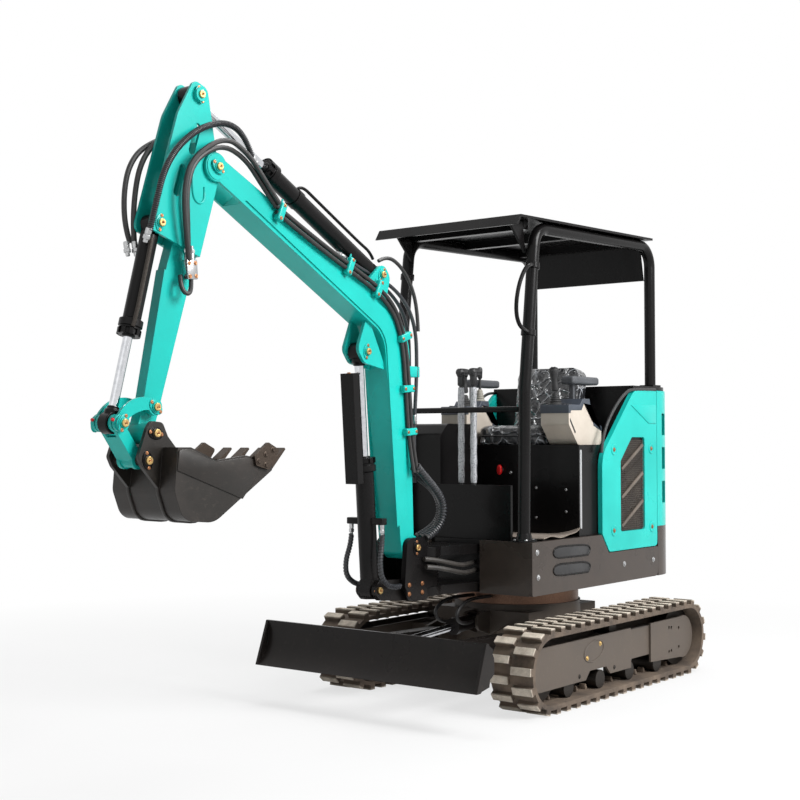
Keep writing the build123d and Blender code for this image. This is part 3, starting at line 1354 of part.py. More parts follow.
def bucket_teeth():
    """Wedge teeth seated on the lip, evenly spaced, and a cutter on each side plate."""
    wedge = [
        (BUCKET_MOUTH + SEAT_GAP, 70 - TOOTH_THICK / 2),
        (BUCKET_MOUTH + SEAT_GAP, 70 + TOOTH_THICK / 2 + 4),
        (BUCKET_REACH, 4),
        (BUCKET_REACH - 6, -2),
    ]
    points = [on_bucket(*place) for place in wedge]
    pitch = (BUCKET_WIDTH - TOOTH_WIDTH) / (TOOTH_COUNT - 1)
    first = -BUCKET_WIDTH / 2
    teeth = [slab(points, first + n * pitch, first + n * pitch + TOOTH_WIDTH) for n in range(TOOTH_COUNT)]
    cutter = [
        (BUCKET_MOUTH - 106, 84),
        (BUCKET_MOUTH - 118, 46),
        (BUCKET_MOUTH - 46, -14),
        (BUCKET_MOUTH + 22, 10),
        (BUCKET_MOUTH - 30, 96),
    ]
    outside = BUCKET_WIDTH / 2 + SEAT_GAP
    plate = slab([on_bucket(*place) for place in cutter], outside, outside + CUTTER_PLATE, [10] * 5)
    return teeth + [plate, mirror(plate, about=Plane.XZ)]


def other_side(shape):
    if isinstance(shape, list):
        return [mirror(one, about=Plane.XZ) for one in shape]
    return mirror(shape, about=Plane.XZ)


def pieces():
    """All nodes by name, about the slew axis."""
    nodes = {"carbody": carbody(), "slew_ring": slew_ring()}
    twins = {
        "track": left_track,
        "track_frame": left_track_frame,
        "rollers": left_rollers,
        "skirt": left_skirt,
        "side_panel": left_side_panel,
        "grille": left_grille,
        "console": left_console,
        "armrest": left_armrest,
        "joystick": left_joystick,
    }
    for name, make in twins.items():
        left = make()
        nodes["left_" + name] = left
        nodes["right_" + name] = other_side(left)
    nodes["right_side_panel"] = right_side_panel()
    nodes["dozer_blade"] = dozer_blade()
    nodes["blade_arms"] = blade_arms()
    for name, make in (("blade", blade_ram), ("boom", boom_ram), ("arm", arm_ram), ("bucket", bucket_ram)):
        nodes[name + "_cylinder_barrel"], nodes[name + "_cylinder_rod"] = make()
    for make in (
        house_deck, floor_plate, counterweight, engine_cover, engine_block, rear_hood, seat_box,
        seat_cushion, seat_back,
        travel_levers, floor_mat, front_panel, side_box, canopy_roof, front_rail, swing_bracket, boom,
        arm, side_links,
        bucket_link, bucket, bucket_teeth,
    ):
        nodes[make.__name__] = make()
    nodes["canopy_hoop_left"] = canopy_hoop(POST_SPREAD / 2)
    nodes["canopy_hoop_right"] = canopy_hoop(-POST_SPREAD / 2)
    return nodes


def main():
    os.makedirs("parts", exist_ok=True)
    for name, shape in pieces().items():
        solids = shape if isinstance(shape, list) else shape.solids()
        export_step(Compound([SHIFT * solid for solid in solids]), f"parts/{name}.step")


if __name__ == "__main__":
    main()
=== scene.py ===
"""Finishes, small pieces and studio for the teal excavator."""
from math import atan2, cos, hypot, pi, radians, sin

import bmesh
import bpy
from mathutils import Matrix, Vector


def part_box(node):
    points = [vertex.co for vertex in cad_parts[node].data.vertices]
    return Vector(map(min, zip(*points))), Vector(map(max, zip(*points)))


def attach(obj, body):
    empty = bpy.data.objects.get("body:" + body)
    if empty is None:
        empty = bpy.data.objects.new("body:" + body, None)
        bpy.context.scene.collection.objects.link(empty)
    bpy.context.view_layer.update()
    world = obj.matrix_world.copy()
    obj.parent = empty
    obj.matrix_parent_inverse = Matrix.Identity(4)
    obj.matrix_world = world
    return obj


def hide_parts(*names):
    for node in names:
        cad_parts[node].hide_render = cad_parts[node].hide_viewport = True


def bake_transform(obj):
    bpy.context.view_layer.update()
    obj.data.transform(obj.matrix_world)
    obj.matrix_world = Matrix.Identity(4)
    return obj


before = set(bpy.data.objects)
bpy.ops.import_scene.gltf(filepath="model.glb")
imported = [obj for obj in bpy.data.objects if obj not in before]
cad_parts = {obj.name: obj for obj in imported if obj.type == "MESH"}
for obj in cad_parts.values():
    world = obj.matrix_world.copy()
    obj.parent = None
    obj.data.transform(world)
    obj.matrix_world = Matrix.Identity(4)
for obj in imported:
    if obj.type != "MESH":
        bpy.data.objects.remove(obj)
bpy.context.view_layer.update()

SLEW_X = -0.8968
LEFT, RIGHT = 1, -1
SIDES = (("left", LEFT), ("right", RIGHT))

# Pin centres of the working gear, (x, z) in millimetres from the slew axis and the ground.
BOOM_FOOT = (1005, 760)
BOOM_TIP = (2277.4, 2348.2)
BOOM_RAM_BASE = (1235, 578)
BOOM_RAM_TOP = (1315.8, 1662.9)
ARM_RAM_BASE = (1205.8, 2021.4)
ARM_TAIL = (2361.2, 2622.2)
BUCKET_RAM_BASE = (2559.6, 2092.5)
LINK_PIN = (2593.5, 1388.9)
ROD_PIN = (2760.6, 1327.4)
BUCKET_PIN = (2619.1, 1290)
BUCKET_LINK_PIN = (2658.1, 1188.3)
BUCKET_TURN = 185.5

# Faces and centre lines that small pieces sit on, in millimetres.
TRACK_REACH = 702
AXLE_HEIGHT = 198
BELT_INSIDE = 154
TRACK_MIDDLE = 533
FRAME_FACE = 608
PANEL_FACE = 457
POST_X, POST_Y, POST_FOOT = 533, 385, 772
LEVER_X = 455
SEAT_BOX_FRONT = 80
BUCKET_SIDE = 173


def mm(x, y, z):
    """A place in millimetres from the slew axis and the ground, in the frame's metres."""
    return Vector((x / 1000 + SLEW_X, y / 1000, z / 1000))


def tint(red, green, blue):
    """A paint-card colour, 0 to 255, as the shader's linear colour."""
    return tuple(
        c / 255 / 12.92 if c < 11 else ((c / 255 + 0.055) / 1.055) ** 2.4 for c in (red, green, blue)
    ) + (1.0,)


class Finish:
    """A node material under construction."""

    def __init__(self, name):
        self.material = bpy.data.materials.new(name)
        self.material.use_nodes = True
        self.tree = self.material.node_tree
        self.shader = self.tree.nodes["Principled BSDF"]
        self.place = self.add("ShaderNodeTexCoord").outputs["Object"]

    def add(self, kind, inputs=(), **settings):
        """A new node; inputs maps socket names or numbers to values or other outputs."""
        node = self.tree.nodes.new(kind)
        for key, value in settings.items():
            setattr(node, key, value)
        for key, value in dict(inputs).items():
            if isinstance(value, bpy.types.NodeSocket):
                self.tree.links.new(value, node.inputs[key])
            else:
                node.inputs[key].default_value = value
        return node

    def set(self, **values):
        """Shader sockets, spaces written as underscores, from values or outputs."""
        for key, value in values.items():
            socket = self.shader.inputs[key.replace("_", " ")]
            if isinstance(value, bpy.types.NodeSocket):
                self.tree.links.new(value, socket)
            else:
                socket.default_value = value
        return self

    def stretched(self, scale, turn=(0, 0, 0)):
        """Object coordinates scaled along each axis."""
        return self.add(
            "ShaderNodeMapping", {"Vector": self.place, "Scale": scale, "Rotation": turn}
        ).outputs[0]

    def noise(self, scale, detail=4.0, rough=0.55, place=None):
        inputs = {"Vector": place or self.place, "Scale": scale, "Detail": detail, "Roughness": rough}
        return self.add("ShaderNodeTexNoise", inputs).outputs[0]

    def cells(self, scale, feature="F1", place=None):
        inputs = {"Vector": place or self.place, "Scale": scale}
        return self.add("ShaderNodeTexVoronoi", inputs, feature=feature).outputs["Distance"]

    def sum(self, operation, a, b=0.0):
        return self.add("ShaderNodeMath", {0: a, 1: b}, operation=operation).outputs[0]

    def span(self, value, low, high, to_low=0.0, to_high=1.0):
        """A value between low and high, mapped and held between two others."""
        inputs = {"Value": value, "From Min": low, "From Max": high, "To Min": to_low, "To Max": to_high}
        return self.add("ShaderNodeMapRange", inputs).outputs[0]

    def mixed(self, factor, first, second):
        """Two colours mixed by a factor."""
        node = self.add("ShaderNodeMix", data_type="RGBA")
        for socket, value in ((node.inputs[0], factor), (node.inputs[6], first), (node.inputs[7], second)):
            if isinstance(value, bpy.types.NodeSocket):
                self.tree.links.new(value, socket)
            else:
                socket.default_value = value
        return node.outputs[2]

    def bump(self, height, strength, distance, normal=None):
        inputs = {"Height": height, "Strength": strength, "Distance": distance}
        if normal:
            inputs["Normal"] = normal
        return self.add("ShaderNodeBump", inputs).outputs[0]

    def soft_edge(self, radius):
        """Normal rounded over sharp edges, as on folded and welded plate."""
        return self.add("ShaderNodeBevel", {"Radius": radius}, samples=4).outputs[0]


def sprayed(name, colour, dull, rough, coat, gleam=0.5, dust=None, dust_share=0.25):
    """Gloss paint over plate: faint mottling, orange peel, softened edges, and dust low down if asked."""
    f = Finish(name)
    patches = f.span(f.noise(3.2), 0.35, 0.68)
    shade = f.mixed(patches, tint(*colour), tint(*dull))
    speck = f.span(f.noise(46, 6.0, 0.7), 0.56, 0.74)
    roughness = f.span(patches, 0.0, 1.0, rough, rough + 0.1)
    if dust:
        height = f.add("ShaderNodeSeparateXYZ", {0: f.place}).outputs[2]
        low = f.span(
            f.sum("ADD", height, f.sum("MULTIPLY", f.noise(6), 0.5)), 0.45, 0.95, dust_share, dust_share / 6
        )
        cover = f.sum("MULTIPLY", low, f.span(speck, 0.0, 1.0, 0.55, 1.0))
        shade = f.mixed(cover, shade, tint(*dust))
        roughness = f.sum("ADD", roughness, f.sum("MULTIPLY", cover, 0.5))
    peel = f.bump(f.noise(260, 2.0), 0.05, 0.001, f.soft_edge(0.0025))
    f.set(Base_Color=shade, Roughness=roughness, Normal=peel, Coat_Weight=coat, Coat_Roughness=0.08)
    return f.set(Specular_IOR_Level=gleam).material


def plated(name, colour, dull, rough, grain=(40, 40, 40)):
    """Bare or plated metal with drawn streaks and small stains."""
    f = Finish(name)
    streak = f.noise(8, 5.0, 0.6, f.stretched(grain))
    shade = f.mixed(f.span(streak, 0.35, 0.7), tint(*colour), tint(*dull))
    roughness = f.span(streak, 0.3, 0.75, rough, rough + 0.18)
    normal = f.bump(streak, 0.06, 0.0006, f.soft_edge(0.001))
    return f.set(Base_Color=shade, Roughness=roughness, Normal=normal, Metallic=1.0).material


def moulded(name, colour, dull, rough, grain, depth):
    """Moulded plastic or rubber with a fine leather-like grain."""
    f = Finish(name)
    shade = f.mixed(f.span(f.noise(9), 0.35, 0.7), tint(*colour), tint(*dull))
    pebble = f.cells(grain)
    normal = f.bump(pebble, 0.35, depth, f.soft_edge(0.0015))
    roughness = f.span(f.noise(30), 0.3, 0.7, rough - 0.06, rough + 0.08)
    return f.set(Base_Color=shade, Roughness=roughness, Normal=normal).material


def worn_steel():
    """Brown-black bucket paint, thinly rubbed in streaks with a few scratches."""
    f = Finish("worn_steel")
    rubbed = f.span(f.noise(5, 8.0, 0.68, f.stretched((1.0, 2.6, 1.0))), 0.45, 0.75)
    scratch = f.span(f.noise(30, 6.0, 0.7, f.stretched((1.0, 7.0, 1.6), (0.3, 0.2, 0))), 0.58, 0.74)
    shade = f.mixed(rubbed, tint(32, 29, 26), tint(45, 39, 35))
    shade = f.mixed(f.sum("MULTIPLY", scratch, 0.14), shade, tint(118, 108, 98))
    normal = f.bump(f.noise(90, 4.0), 0.1, 0.0012, f.soft_edge(0.003))
    roughness = f.span(rubbed, 0.0, 1.0, 0.34, 0.5)
    return f.set(Base_Color=shade, Roughness=roughness, Normal=normal, Specular_IOR_Level=0.35).material


def dusty_tread():
    """Track rubber: darker between the lugs, paler on the lug faces and along the sides."""
    f = Finish("dusty_tread")
    half, reach = AXLE_HEIGHT / 1000, TRACK_REACH / 1000
    axes = f.add("ShaderNodeSeparateXYZ", {0: f.place}).outputs
    from_centre = f.sum("ABSOLUTE", f.sum("SUBTRACT", axes[0], SLEW_X))
    past_wheel = f.sum("MAXIMUM", f.sum("SUBTRACT", from_centre, reach), 0.0)
    height = f.sum("SUBTRACT", axes[2], half)
    radial = f.sum("SQRT", f.sum("ADD", f.sum("POWER", past_wheel, 2.0), f.sum("POWER", height, 2.0)))
    speck = f.noise(38, 8.0, 0.7)
    # paler near the belt's outer surface, on the lug faces
    face = f.span(f.sum("ADD", radial, f.sum("MULTIPLY", speck, 0.006)), half - 0.006, half + 0.002)
    wash = f.span(f.noise(7, 6.0, 0.65), 0.32, 0.7)
    rubber = f.mixed(wash, tint(62, 53, 46), tint(110, 95, 81))
    patchy = f.span(f.noise(16, 6.0, 0.7), 0.3, 0.62, 0.35, 0.95)
    shade = f.mixed(f.sum("MULTIPLY", face, patchy), rubber, tint(206, 195, 180))
    normal = f.bump(f.noise(120, 5.0), 0.3, 0.002, f.soft_edge(0.003))
    return f.set(Base_Color=shade, Roughness=0.82, Normal=normal).material


def ribbed_mat():
    """Floor mat with small raised pips, dusty brown grey, with painted shade in the hollows between the pips.
    """
    f = Finish("ribbed_mat")
    pips = f.cells(115)
    wash = f.span(f.noise(8, 5.0), 0.35, 0.68)
    shade = f.mixed(wash, tint(128, 116, 107), tint(156, 144, 132))
    # painted shade: darker colour in the low ground between the pips
    shade = f.mixed(f.span(pips, 0.1, 0.5, 0.0, 0.4), shade, tint(60, 55, 50))
    return f.set(Base_Color=shade, Roughness=0.78, Normal=f.bump(pips, 0.6, -0.003)).material


def filmed_vinyl():
    """Dark seat vinyl under a loose clear film, whose creases catch the light in the coat and carry painted
    highlights in the colour.
    """
    f = Finish("filmed_vinyl")
    drift = f.add("ShaderNodeTexNoise", {"Vector": f.place, "Scale": 9.0}).outputs[1]
    warp = f.add(
        "ShaderNodeVectorMath", {0: drift, 1: (0.09, 0.09, 0.09), 2: f.place}, operation="MULTIPLY_ADD"
    ).outputs[0]
    creases = f.cells(15, "DISTANCE_TO_EDGE", warp)
    fold = f.sum("ADD", f.span(creases, 0.0, 0.14, 1.0, 0.0), f.noise(26, 3.0, 0.6))
    film = f.bump(fold, 1.0, 0.016)
    # painted highlight: pale colour painted along the film's creases
    painted_glint = f.sum("MULTIPLY", f.span(creases, 0.0, 0.06, 0.8, 0.0), f.span(f.noise(17), 0.44, 0.6))
    shade = f.mixed(painted_glint, tint(24, 25, 29), tint(206, 210, 216))
    grain = f.bump(f.cells(420), 0.25, 0.0008)
    f.set(
        Base_Color=shade, Roughness=0.45, Normal=grain, Coat_Weight=1.0, Coat_Roughness=0.05,
        Coat_Normal=film,
    )
    return f.material


def silver_film():
    """Wrinkled wrapping film drawn tight on a shaft: pale, finely creased, with dark specks."""
    f = Finish("silver_film")
    crease = f.cells(150, "DISTANCE_TO_EDGE", f.stretched((1.0, 1.0, 0.5), (0.4, 0.3, 0)))
    speck = f.span(f.noise(170, 4.0, 0.7), 0.5, 0.66)
    shade = f.mixed(speck, tint(186, 188, 192), tint(66, 67, 70))
    normal = f.bump(f.sum("ADD", crease, f.noise(90, 5.0, 0.7)), 0.8, 0.003)
    return f.set(Base_Color=shade, Roughness=0.24, Normal=normal, Metallic=0.25, Coat_Weight=0.6).material


def woven_hose(name, colour, dull, scale):
    """Rubber hose with a fabric braid pressed in its cover, on the hose's own length and girth."""
    f = Finish(name)
    run = f.add("ShaderNodeUVMap").outputs[0]
    lanes = f.add("ShaderNodeMapping", {"Vector": run, "Scale": scale, "Rotation": (0, 0, 0.785)}).outputs[0]
    braid = f.add("ShaderNodeTexChecker", {"Vector": lanes, "Scale": 1.0}).outputs["Fac"]
    wash = f.span(f.noise(20, 5.0), 0.35, 0.7)
    shade = f.mixed(wash, tint(*colour), tint(*dull))
    shade = f.mixed(f.sum("MULTIPLY", braid, 0.3), shade, tint(8, 8, 8))
    return f.set(Base_Color=shade, Roughness=0.48, Normal=f.bump(braid, 0.25, 0.0006)).material


TEAL = sprayed("teal_gloss", (24, 180, 170), (19, 168, 159), 0.26, 0.06, 0.22)
BLACK = sprayed("black_gloss", (9, 9, 10), (14, 14, 15), 0.22, 0.03, 0.13, (96, 86, 80), 0.2)
SHEET = sprayed("skirt_gloss", (46, 40, 36), (56, 48, 43), 0.22, 0.1, 0.25, (120, 108, 98), 0.35)
CHARCOAL = sprayed("frame_grey", (50, 45, 42), (62, 55, 50), 0.42, 0.05, 0.4, (128, 114, 100), 0.45)
CHROME = plated("hard_chrome", (214, 215, 218), (188, 190, 194), 0.05, (6, 6, 6))
SILVER = plated("zinc_silver", (196, 197, 198), (150, 150, 150), 0.2)
GOLD = plated("yellow_zinc", (214, 186, 126), (178, 142, 88), 0.26)
COPPER = plated("copper_zinc", (182, 132, 96), (140, 94, 66), 0.28)
CAST = plated("cast_iron", (72, 68, 64), (48, 44, 42), 0.45)
ALUMINIUM = plated("aluminium", (206, 207, 208), (176, 178, 180), 0.3, (2, 2, 60))
RING = plated("ring_steel", (126, 98, 82), (86, 66, 56), 0.36)
TOOTH = plated("tooth_steel", (84, 74, 66), (52, 46, 42), 0.42)
WORN = worn_steel()
TREAD = dusty_tread()
MAT = ribbed_mat()
VINYL = filmed_vinyl()
FILM = silver_film()
BEIGE = moulded("beige_plastic", (190, 181, 169), (178, 168, 156), 0.5, 620, 0.0006)
SLATE = moulded("slate_plastic", (60, 66, 76), (50, 55, 64), 0.45, 560, 0.0006)
GREY = moulded("grey_pad", (74, 76, 80), (62, 64, 68), 0.55, 480, 0.0008)
DARK = moulded("dark_plastic", (27, 27, 28), (36, 36, 37), 0.42, 520, 0.0006)
WIRE = moulded("mesh_wire", (98, 88, 78), (72, 64, 57), 0.5, 300, 0.0004)
BOOT = moulded("pale_boot", (150, 146, 136), (132, 128, 119), 0.6, 400, 0.0006)
RUBBER = moulded("bellows_rubber", (30, 30, 31), (46, 45, 44), 0.6, 400, 0.0006)
RED = moulded("red_plastic", (222, 24, 26), (200, 18, 20), 0.35, 600, 0.0004)
HOSE = woven_hose("hose_rubber", (24, 24, 25), (38, 36, 35), (90, 10, 1))
BRAID = woven_hose("braided_cover", (66, 62, 58), (40, 38, 36), (160, 16, 1))
SHEATH = moulded("sheath_plastic", (36, 37, 41), (52, 54, 58), 0.3, 300, 0.0004)

NODE_LOOKS = {
    TEAL: "boom arm rear_hood left_side_panel right_side_panel side_links bucket_link",
    SHEET: "left_skirt right_skirt counterweight",
    BLACK: "house_deck floor_plate engine_cover seat_box canopy_hoop_left canopy_hoop_right canopy_roof"
           " front_rail dozer_blade blade_arms boom_cylinder_barrel arm_cylinder_barrel"
           " bucket_cylinder_barrel blade_cylinder_barrel swing_bracket front_panel side_box"
           " left_grille right_grille",
    CHARCOAL: "carbody left_track_frame right_track_frame",
    CHROME: "boom_cylinder_rod arm_cylinder_rod bucket_cylinder_rod blade_cylinder_rod",
    CAST: "left_rollers right_rollers engine_block",
    RING: "slew_ring",
    TOOTH: "bucket_teeth",
    WORN: "bucket",
    TREAD: "left_track right_track",
    VINYL: "seat_cushion seat_back",
    BEIGE: "left_console right_console",
    GREY: "left_armrest right_armrest",
    DARK: "left_joystick right_joystick travel_levers",
    MAT: "floor_mat",
}
for look, names in NODE_LOOKS.items():
    for name in names.split():
        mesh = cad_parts[name].data
        mesh.materials.clear()
        mesh.materials.append(look)


def lone():
    """Leaves nothing selected, in object mode."""
    bpy.ops.object.select_all(action="DESELECT")


def pick(piece):
    """Leaves one piece selected and active."""
    lone()
    piece.select_set(True)
    bpy.context.view_layer.objects.active = piece


def shaped(piece, kind, **settings):
    """Adds a modifier with its settings to the active piece, and applies it."""
    step = piece.modifiers.new(kind, kind)
    for key, value in settings.items():
        setattr(step, key, value)
    bpy.ops.object.modifier_apply(modifier=step.name)
    return piece


def edit():
    """Edit mode with everything selected."""
    bpy.ops.object.mode_set(mode="EDIT")
    bpy.ops.mesh.select_all(action="SELECT")


def done():
    """Outward normals, and back to object mode; gives the piece."""
    bpy.ops.mesh.select_all(action="SELECT")
    bpy.ops.mesh.remove_doubles(threshold=0.00002)
    bpy.ops.mesh.normals_make_consistent(inside=False)
    bpy.ops.object.mode_set(mode="OBJECT")
    return bpy.context.object


def pointing(start, toward):
    """A turn and move that sets a piece modelled up the Z axis at start, pointing toward a direction."""
    return Matrix.Translation(start) @ Vector(toward).to_track_quat("Z", "Y").to_matrix().to_4x4()


def turned(profile, start, toward, sides=24):
    """A lathe piece: (radius, distance) pairs in millimetres along its axis, set at start."""
    lone()
    (radius, along), *rest = [(r / 1000, d / 1000) for r, d in profile]
    bpy.ops.mesh.primitive_circle_add(vertices=sides, radius=radius, fill_type="NGON", location=(0, 0, 0))
    piece = bpy.context.object
    edit()
    bpy.ops.transform.translate(value=(0, 0, along))
    for next_radius, next_along in rest:
        bpy.ops.mesh.extrude_region_move(TRANSFORM_OT_translate={"value": (0, 0, next_along - along)})
        ratio = next_radius / radius
        bpy.ops.transform.resize(value=(ratio, ratio, 1))
        radius, along = next_radius, next_along
    done()
    piece.data.transform(pointing(start, toward))
    return piece


def plate(points, thick, to_place, bevel=0.0, segments=2):
    """A flat piece: an outline in millimetres on its own plane, given a thickness, set by a matrix."""
    lone()
    bpy.ops.mesh.primitive_circle_add(vertices=len(points), radius=0.1, fill_type="NGON", location=(0, 0, 0))
    piece = bpy.context.object
    for corner, (x, y) in zip(piece.data.vertices, points):
        corner.co = (x / 1000, y / 1000, 0)
    edit()
    bpy.ops.mesh.extrude_region_move(TRANSFORM_OT_translate={"value": (0, 0, thick / 1000)})
    done()
    if bevel:
        shaped(piece, "BEVEL", width=bevel / 1000, segments=segments, limit_method="ANGLE")
    piece.data.transform(to_place)
    return outward(piece)


def facing(side, y):
    """Plane for outlines in (x, z) millimetres, thickness growing to one side, from y out from the middle."""
    grow = Matrix(((1, 0, 0), (0, 0, side), (0, 1, 0))).to_4x4()
    return Matrix.Translation(mm(0, side * y, 0)) @ grow


def swung(middle, turn, u, v):
    """A place on the (x, z) plane, u along and v across a direction turned by degrees about a middle."""
    way = radians(turn)
    return middle[0] + u * cos(way) - v * sin(way), middle[1] + u * sin(way) + v * cos(way)


FACING_AHEAD = Matrix.Translation(mm(0, 0, 0)) @ Matrix(((0, 0, 1), (1, 0, 0), (0, 1, 0))).to_4x4()


def facing_up(z):
    """Plane for outlines in (x, y) millimetres, thickness growing upwards from z."""
    return Matrix.Translation(mm(0, 0, z))


def outward(piece):
    """Recalculates a closed piece's normals after a mirrored placing."""
    pick(piece)
    edit()
    return done()


def copy_of(piece, matrix):
    """A copy with its own mesh, moved in the mesh."""
    twin = piece.copy()
    twin.data = piece.data.copy()
    bpy.context.scene.collection.objects.link(twin)
    twin.data.transform(matrix)
    return twin


def joined(pieces):
    """Several pieces made one."""
    lone()
    for piece in pieces:
        piece.select_set(True)
    bpy.context.view_layer.objects.active = pieces[0]
    bpy.ops.object.join()
    return bpy.context.object


def dress(piece, name, look, body=None, smooth=32):
    """Names a piece, finishes it if it is bare, smooths it under an angle and sets it on its body."""
    pick(piece)
    piece.name = piece.data.name = name
    if not piece.data.materials:
        piece.data.materials.append(look)
    bpy.ops.object.shade_smooth_by_angle(angle=radians(smooth))
    if body:
        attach(piece, body)
    return piece


def look_on(piece, look):
    """A finish set before the piece is joined to others."""
    piece.data.materials.clear()
    piece.data.materials.append(look)
    return piece


def route(points):
    """A smooth line on control points in millimetres from the slew axis."""
    curve = bpy.data.curves.new("route", "CURVE")
    curve.dimensions = "3D"
    spline = curve.splines.new("NURBS")
    spline.points.add(len(points) - 1)
    for knot, place in zip(spline.points, points):
        knot.co = (*mm(*place), 1.0)
    spline.order_u = 3
    spline.use_endpoint_u = True
    spline.resolution_u = 12
    line = bpy.data.objects.new("route", curve)
    bpy.context.scene.collection.objects.link(line)
    return line


def hose(points, radius, look=None):
    """A round hose or pipe along a route."""
    line = route(points)
    line.data.bevel_depth = radius / 1000
    line.data.bevel_resolution = 3
    line.data.use_fill_caps = True
    pick(line)
    bpy.ops.object.convert(target="MESH")
    return look_on(bpy.context.object, look or HOSE)


def along_route(piece, points):
    """Bends a straight piece along a route and drops the route."""
    line = route(points)
    pick(piece)
    shaped(piece, "CURVE", object=line, deform_axis="POS_Z")
    bpy.data.objects.remove(line)
    return piece


def length_of(points):
    """A route's length in millimetres."""
    line = route(points)
    length = line.data.splines[0].calc_length()
    bpy.data.objects.remove(line)
    return length * 1000


def sheathed(points, radius, pitch=8.0):
    """A hose inside corrugated sheathing: one rib, repeated along the route, over a plain core."""
    core = radius * 0.78
    profile = [(core, 0), (radius, pitch * 0.2), (radius, pitch * 0.5), (core, pitch * 0.7)]
    rib = turned(profile, Vector(), (0, 0, 1), 14)
    pick(rib)
    shaped(rib, "ARRAY", use_relative_offset=False, use_constant_offset=True,
           constant_offset_displace=(0, 0, pitch / 1000), count=int(length_of(points) / pitch))
    along_route(look_on(rib, SHEATH), points)
    return joined([rib, hose(points, core)])


def wrapped(points, radius, pitch=14.0):
    """A hose wound with a flat protective spiral."""
    turns = int(length_of(points) / pitch)
    lone()
    bpy.ops.mesh.primitive_plane_add(size=1, location=(0, 0, 0))
    band = bpy.context.object
    for corner, (dx, dz) in zip(band.data.vertices, ((-1, -1), (1, -1), (-1, 1), (1, 1))):
        corner.co = (radius / 1000 + dx * 0.0016, 0, dz * pitch * 0.00034)
    shaped(
        band, "SCREW", angle=2 * pi, screw_offset=pitch / 1000, iterations=turns, steps=14, render_steps=14
    )
    along_route(look_on(band, SHEATH), points)
    outward(band)
    return joined([band, hose(points, radius - 1.5)])


def spread(piece, name, look):
    """A hose between two bodies, dressed, set on neither, and fixed where it lies."""
    dress(piece, name, look)
    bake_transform(piece)
    return piece


def bolt(place, toward, size=9.0, look=None):
    """Hexagon head on a washer with a shallow dished top."""
    head = turned(
        [(size, 0), (size, size * 0.55), (size * 0.86, size * 0.68), (size * 0.5, size * 0.62)], Vector(),
        (0, 0, 1), 6,
    )
    washer = turned([(size * 1.45, -0.4), (size * 1.45, 1.2), (size * 1.3, 1.8)], Vector(), (0, 0, 1), 18)
    both = joined([head, washer])
    both.data.transform(pointing(place, toward))
    return look_on(both, look or COPPER)


def bolts(name, places, toward, size, look, body):
    """One bolt modelled, and its copies, as one piece."""
    first = bolt(Vector(), toward, size, look)
    rest = [copy_of(first, Matrix.Translation(mm(*place))) for place in places[1:]]
    first.data.transform(Matrix.Translation(mm(*places[0])))
    return dress(joined([first] + rest), name, look, body)


def fitting(place, toward, bore=9.0):
    """Crimped ferrule and swivel nut on a hose's end."""
    ferrule = [(bore * 1.25, 0), (bore * 1.35, 3), (bore * 1.35, 22), (bore * 1.2, 24), (bore * 1.2, 27)]
    crimps = turned(ferrule, Vector(), (0, 0, 1), 20)
    nut = turned(
        [(bore * 1.3, 27), (bore * 1.55, 29), (bore * 1.55, 42), (bore * 1.3, 44)], Vector(), (0, 0, 1), 6
    )
    neck = turned([(bore * 0.95, 44), (bore * 0.95, 56), (bore * 0.7, 58)], Vector(), (0, 0, 1), 20)
    piece = joined([crimps, nut, neck])
    piece.data.transform(pointing(place, toward))
    return look_on(piece, SILVER)


def pin_ends(name, middle, face, body, look, turn):
    """Plated pin faces with a grease nipple, on a bolted flange, at both ends of a pin."""
    pieces = []
    x, z = middle
    rim = [swung(middle, turn, 36 * cos(pi * n / 10), 24 * sin(pi * n / 10)) for n in range(20)]
    for side in (LEFT, RIGHT):
        out = (0, side, 0)
        head = turned(
            [(15.5, 0), (15.5, 7), (13.5, 9), (7, 9), (6, 7.4), (3, 7.4)], mm(x, side * (face - 1), z), out,
            28,
        )
        nipple = turned(
            [(3.8, 0), (3.8, 4), (2.4, 6), (3.2, 8), (2, 10)], mm(x, side * (face + 6), z), out, 12
        )
        flange = plate(rim, 6, facing(side, face - 11), 1.2)
        spots = [swung(middle, turn, reach, 0) for reach in (28, -28)]
        keys = [bolt(mm(px, side * (face - 5), pz), out, 5) for px, pz in spots]
        pieces += [look_on(head, GOLD), look_on(nipple, COPPER), look_on(flange, look)] + keys
    return dress(joined(pieces), name, GOLD, body)


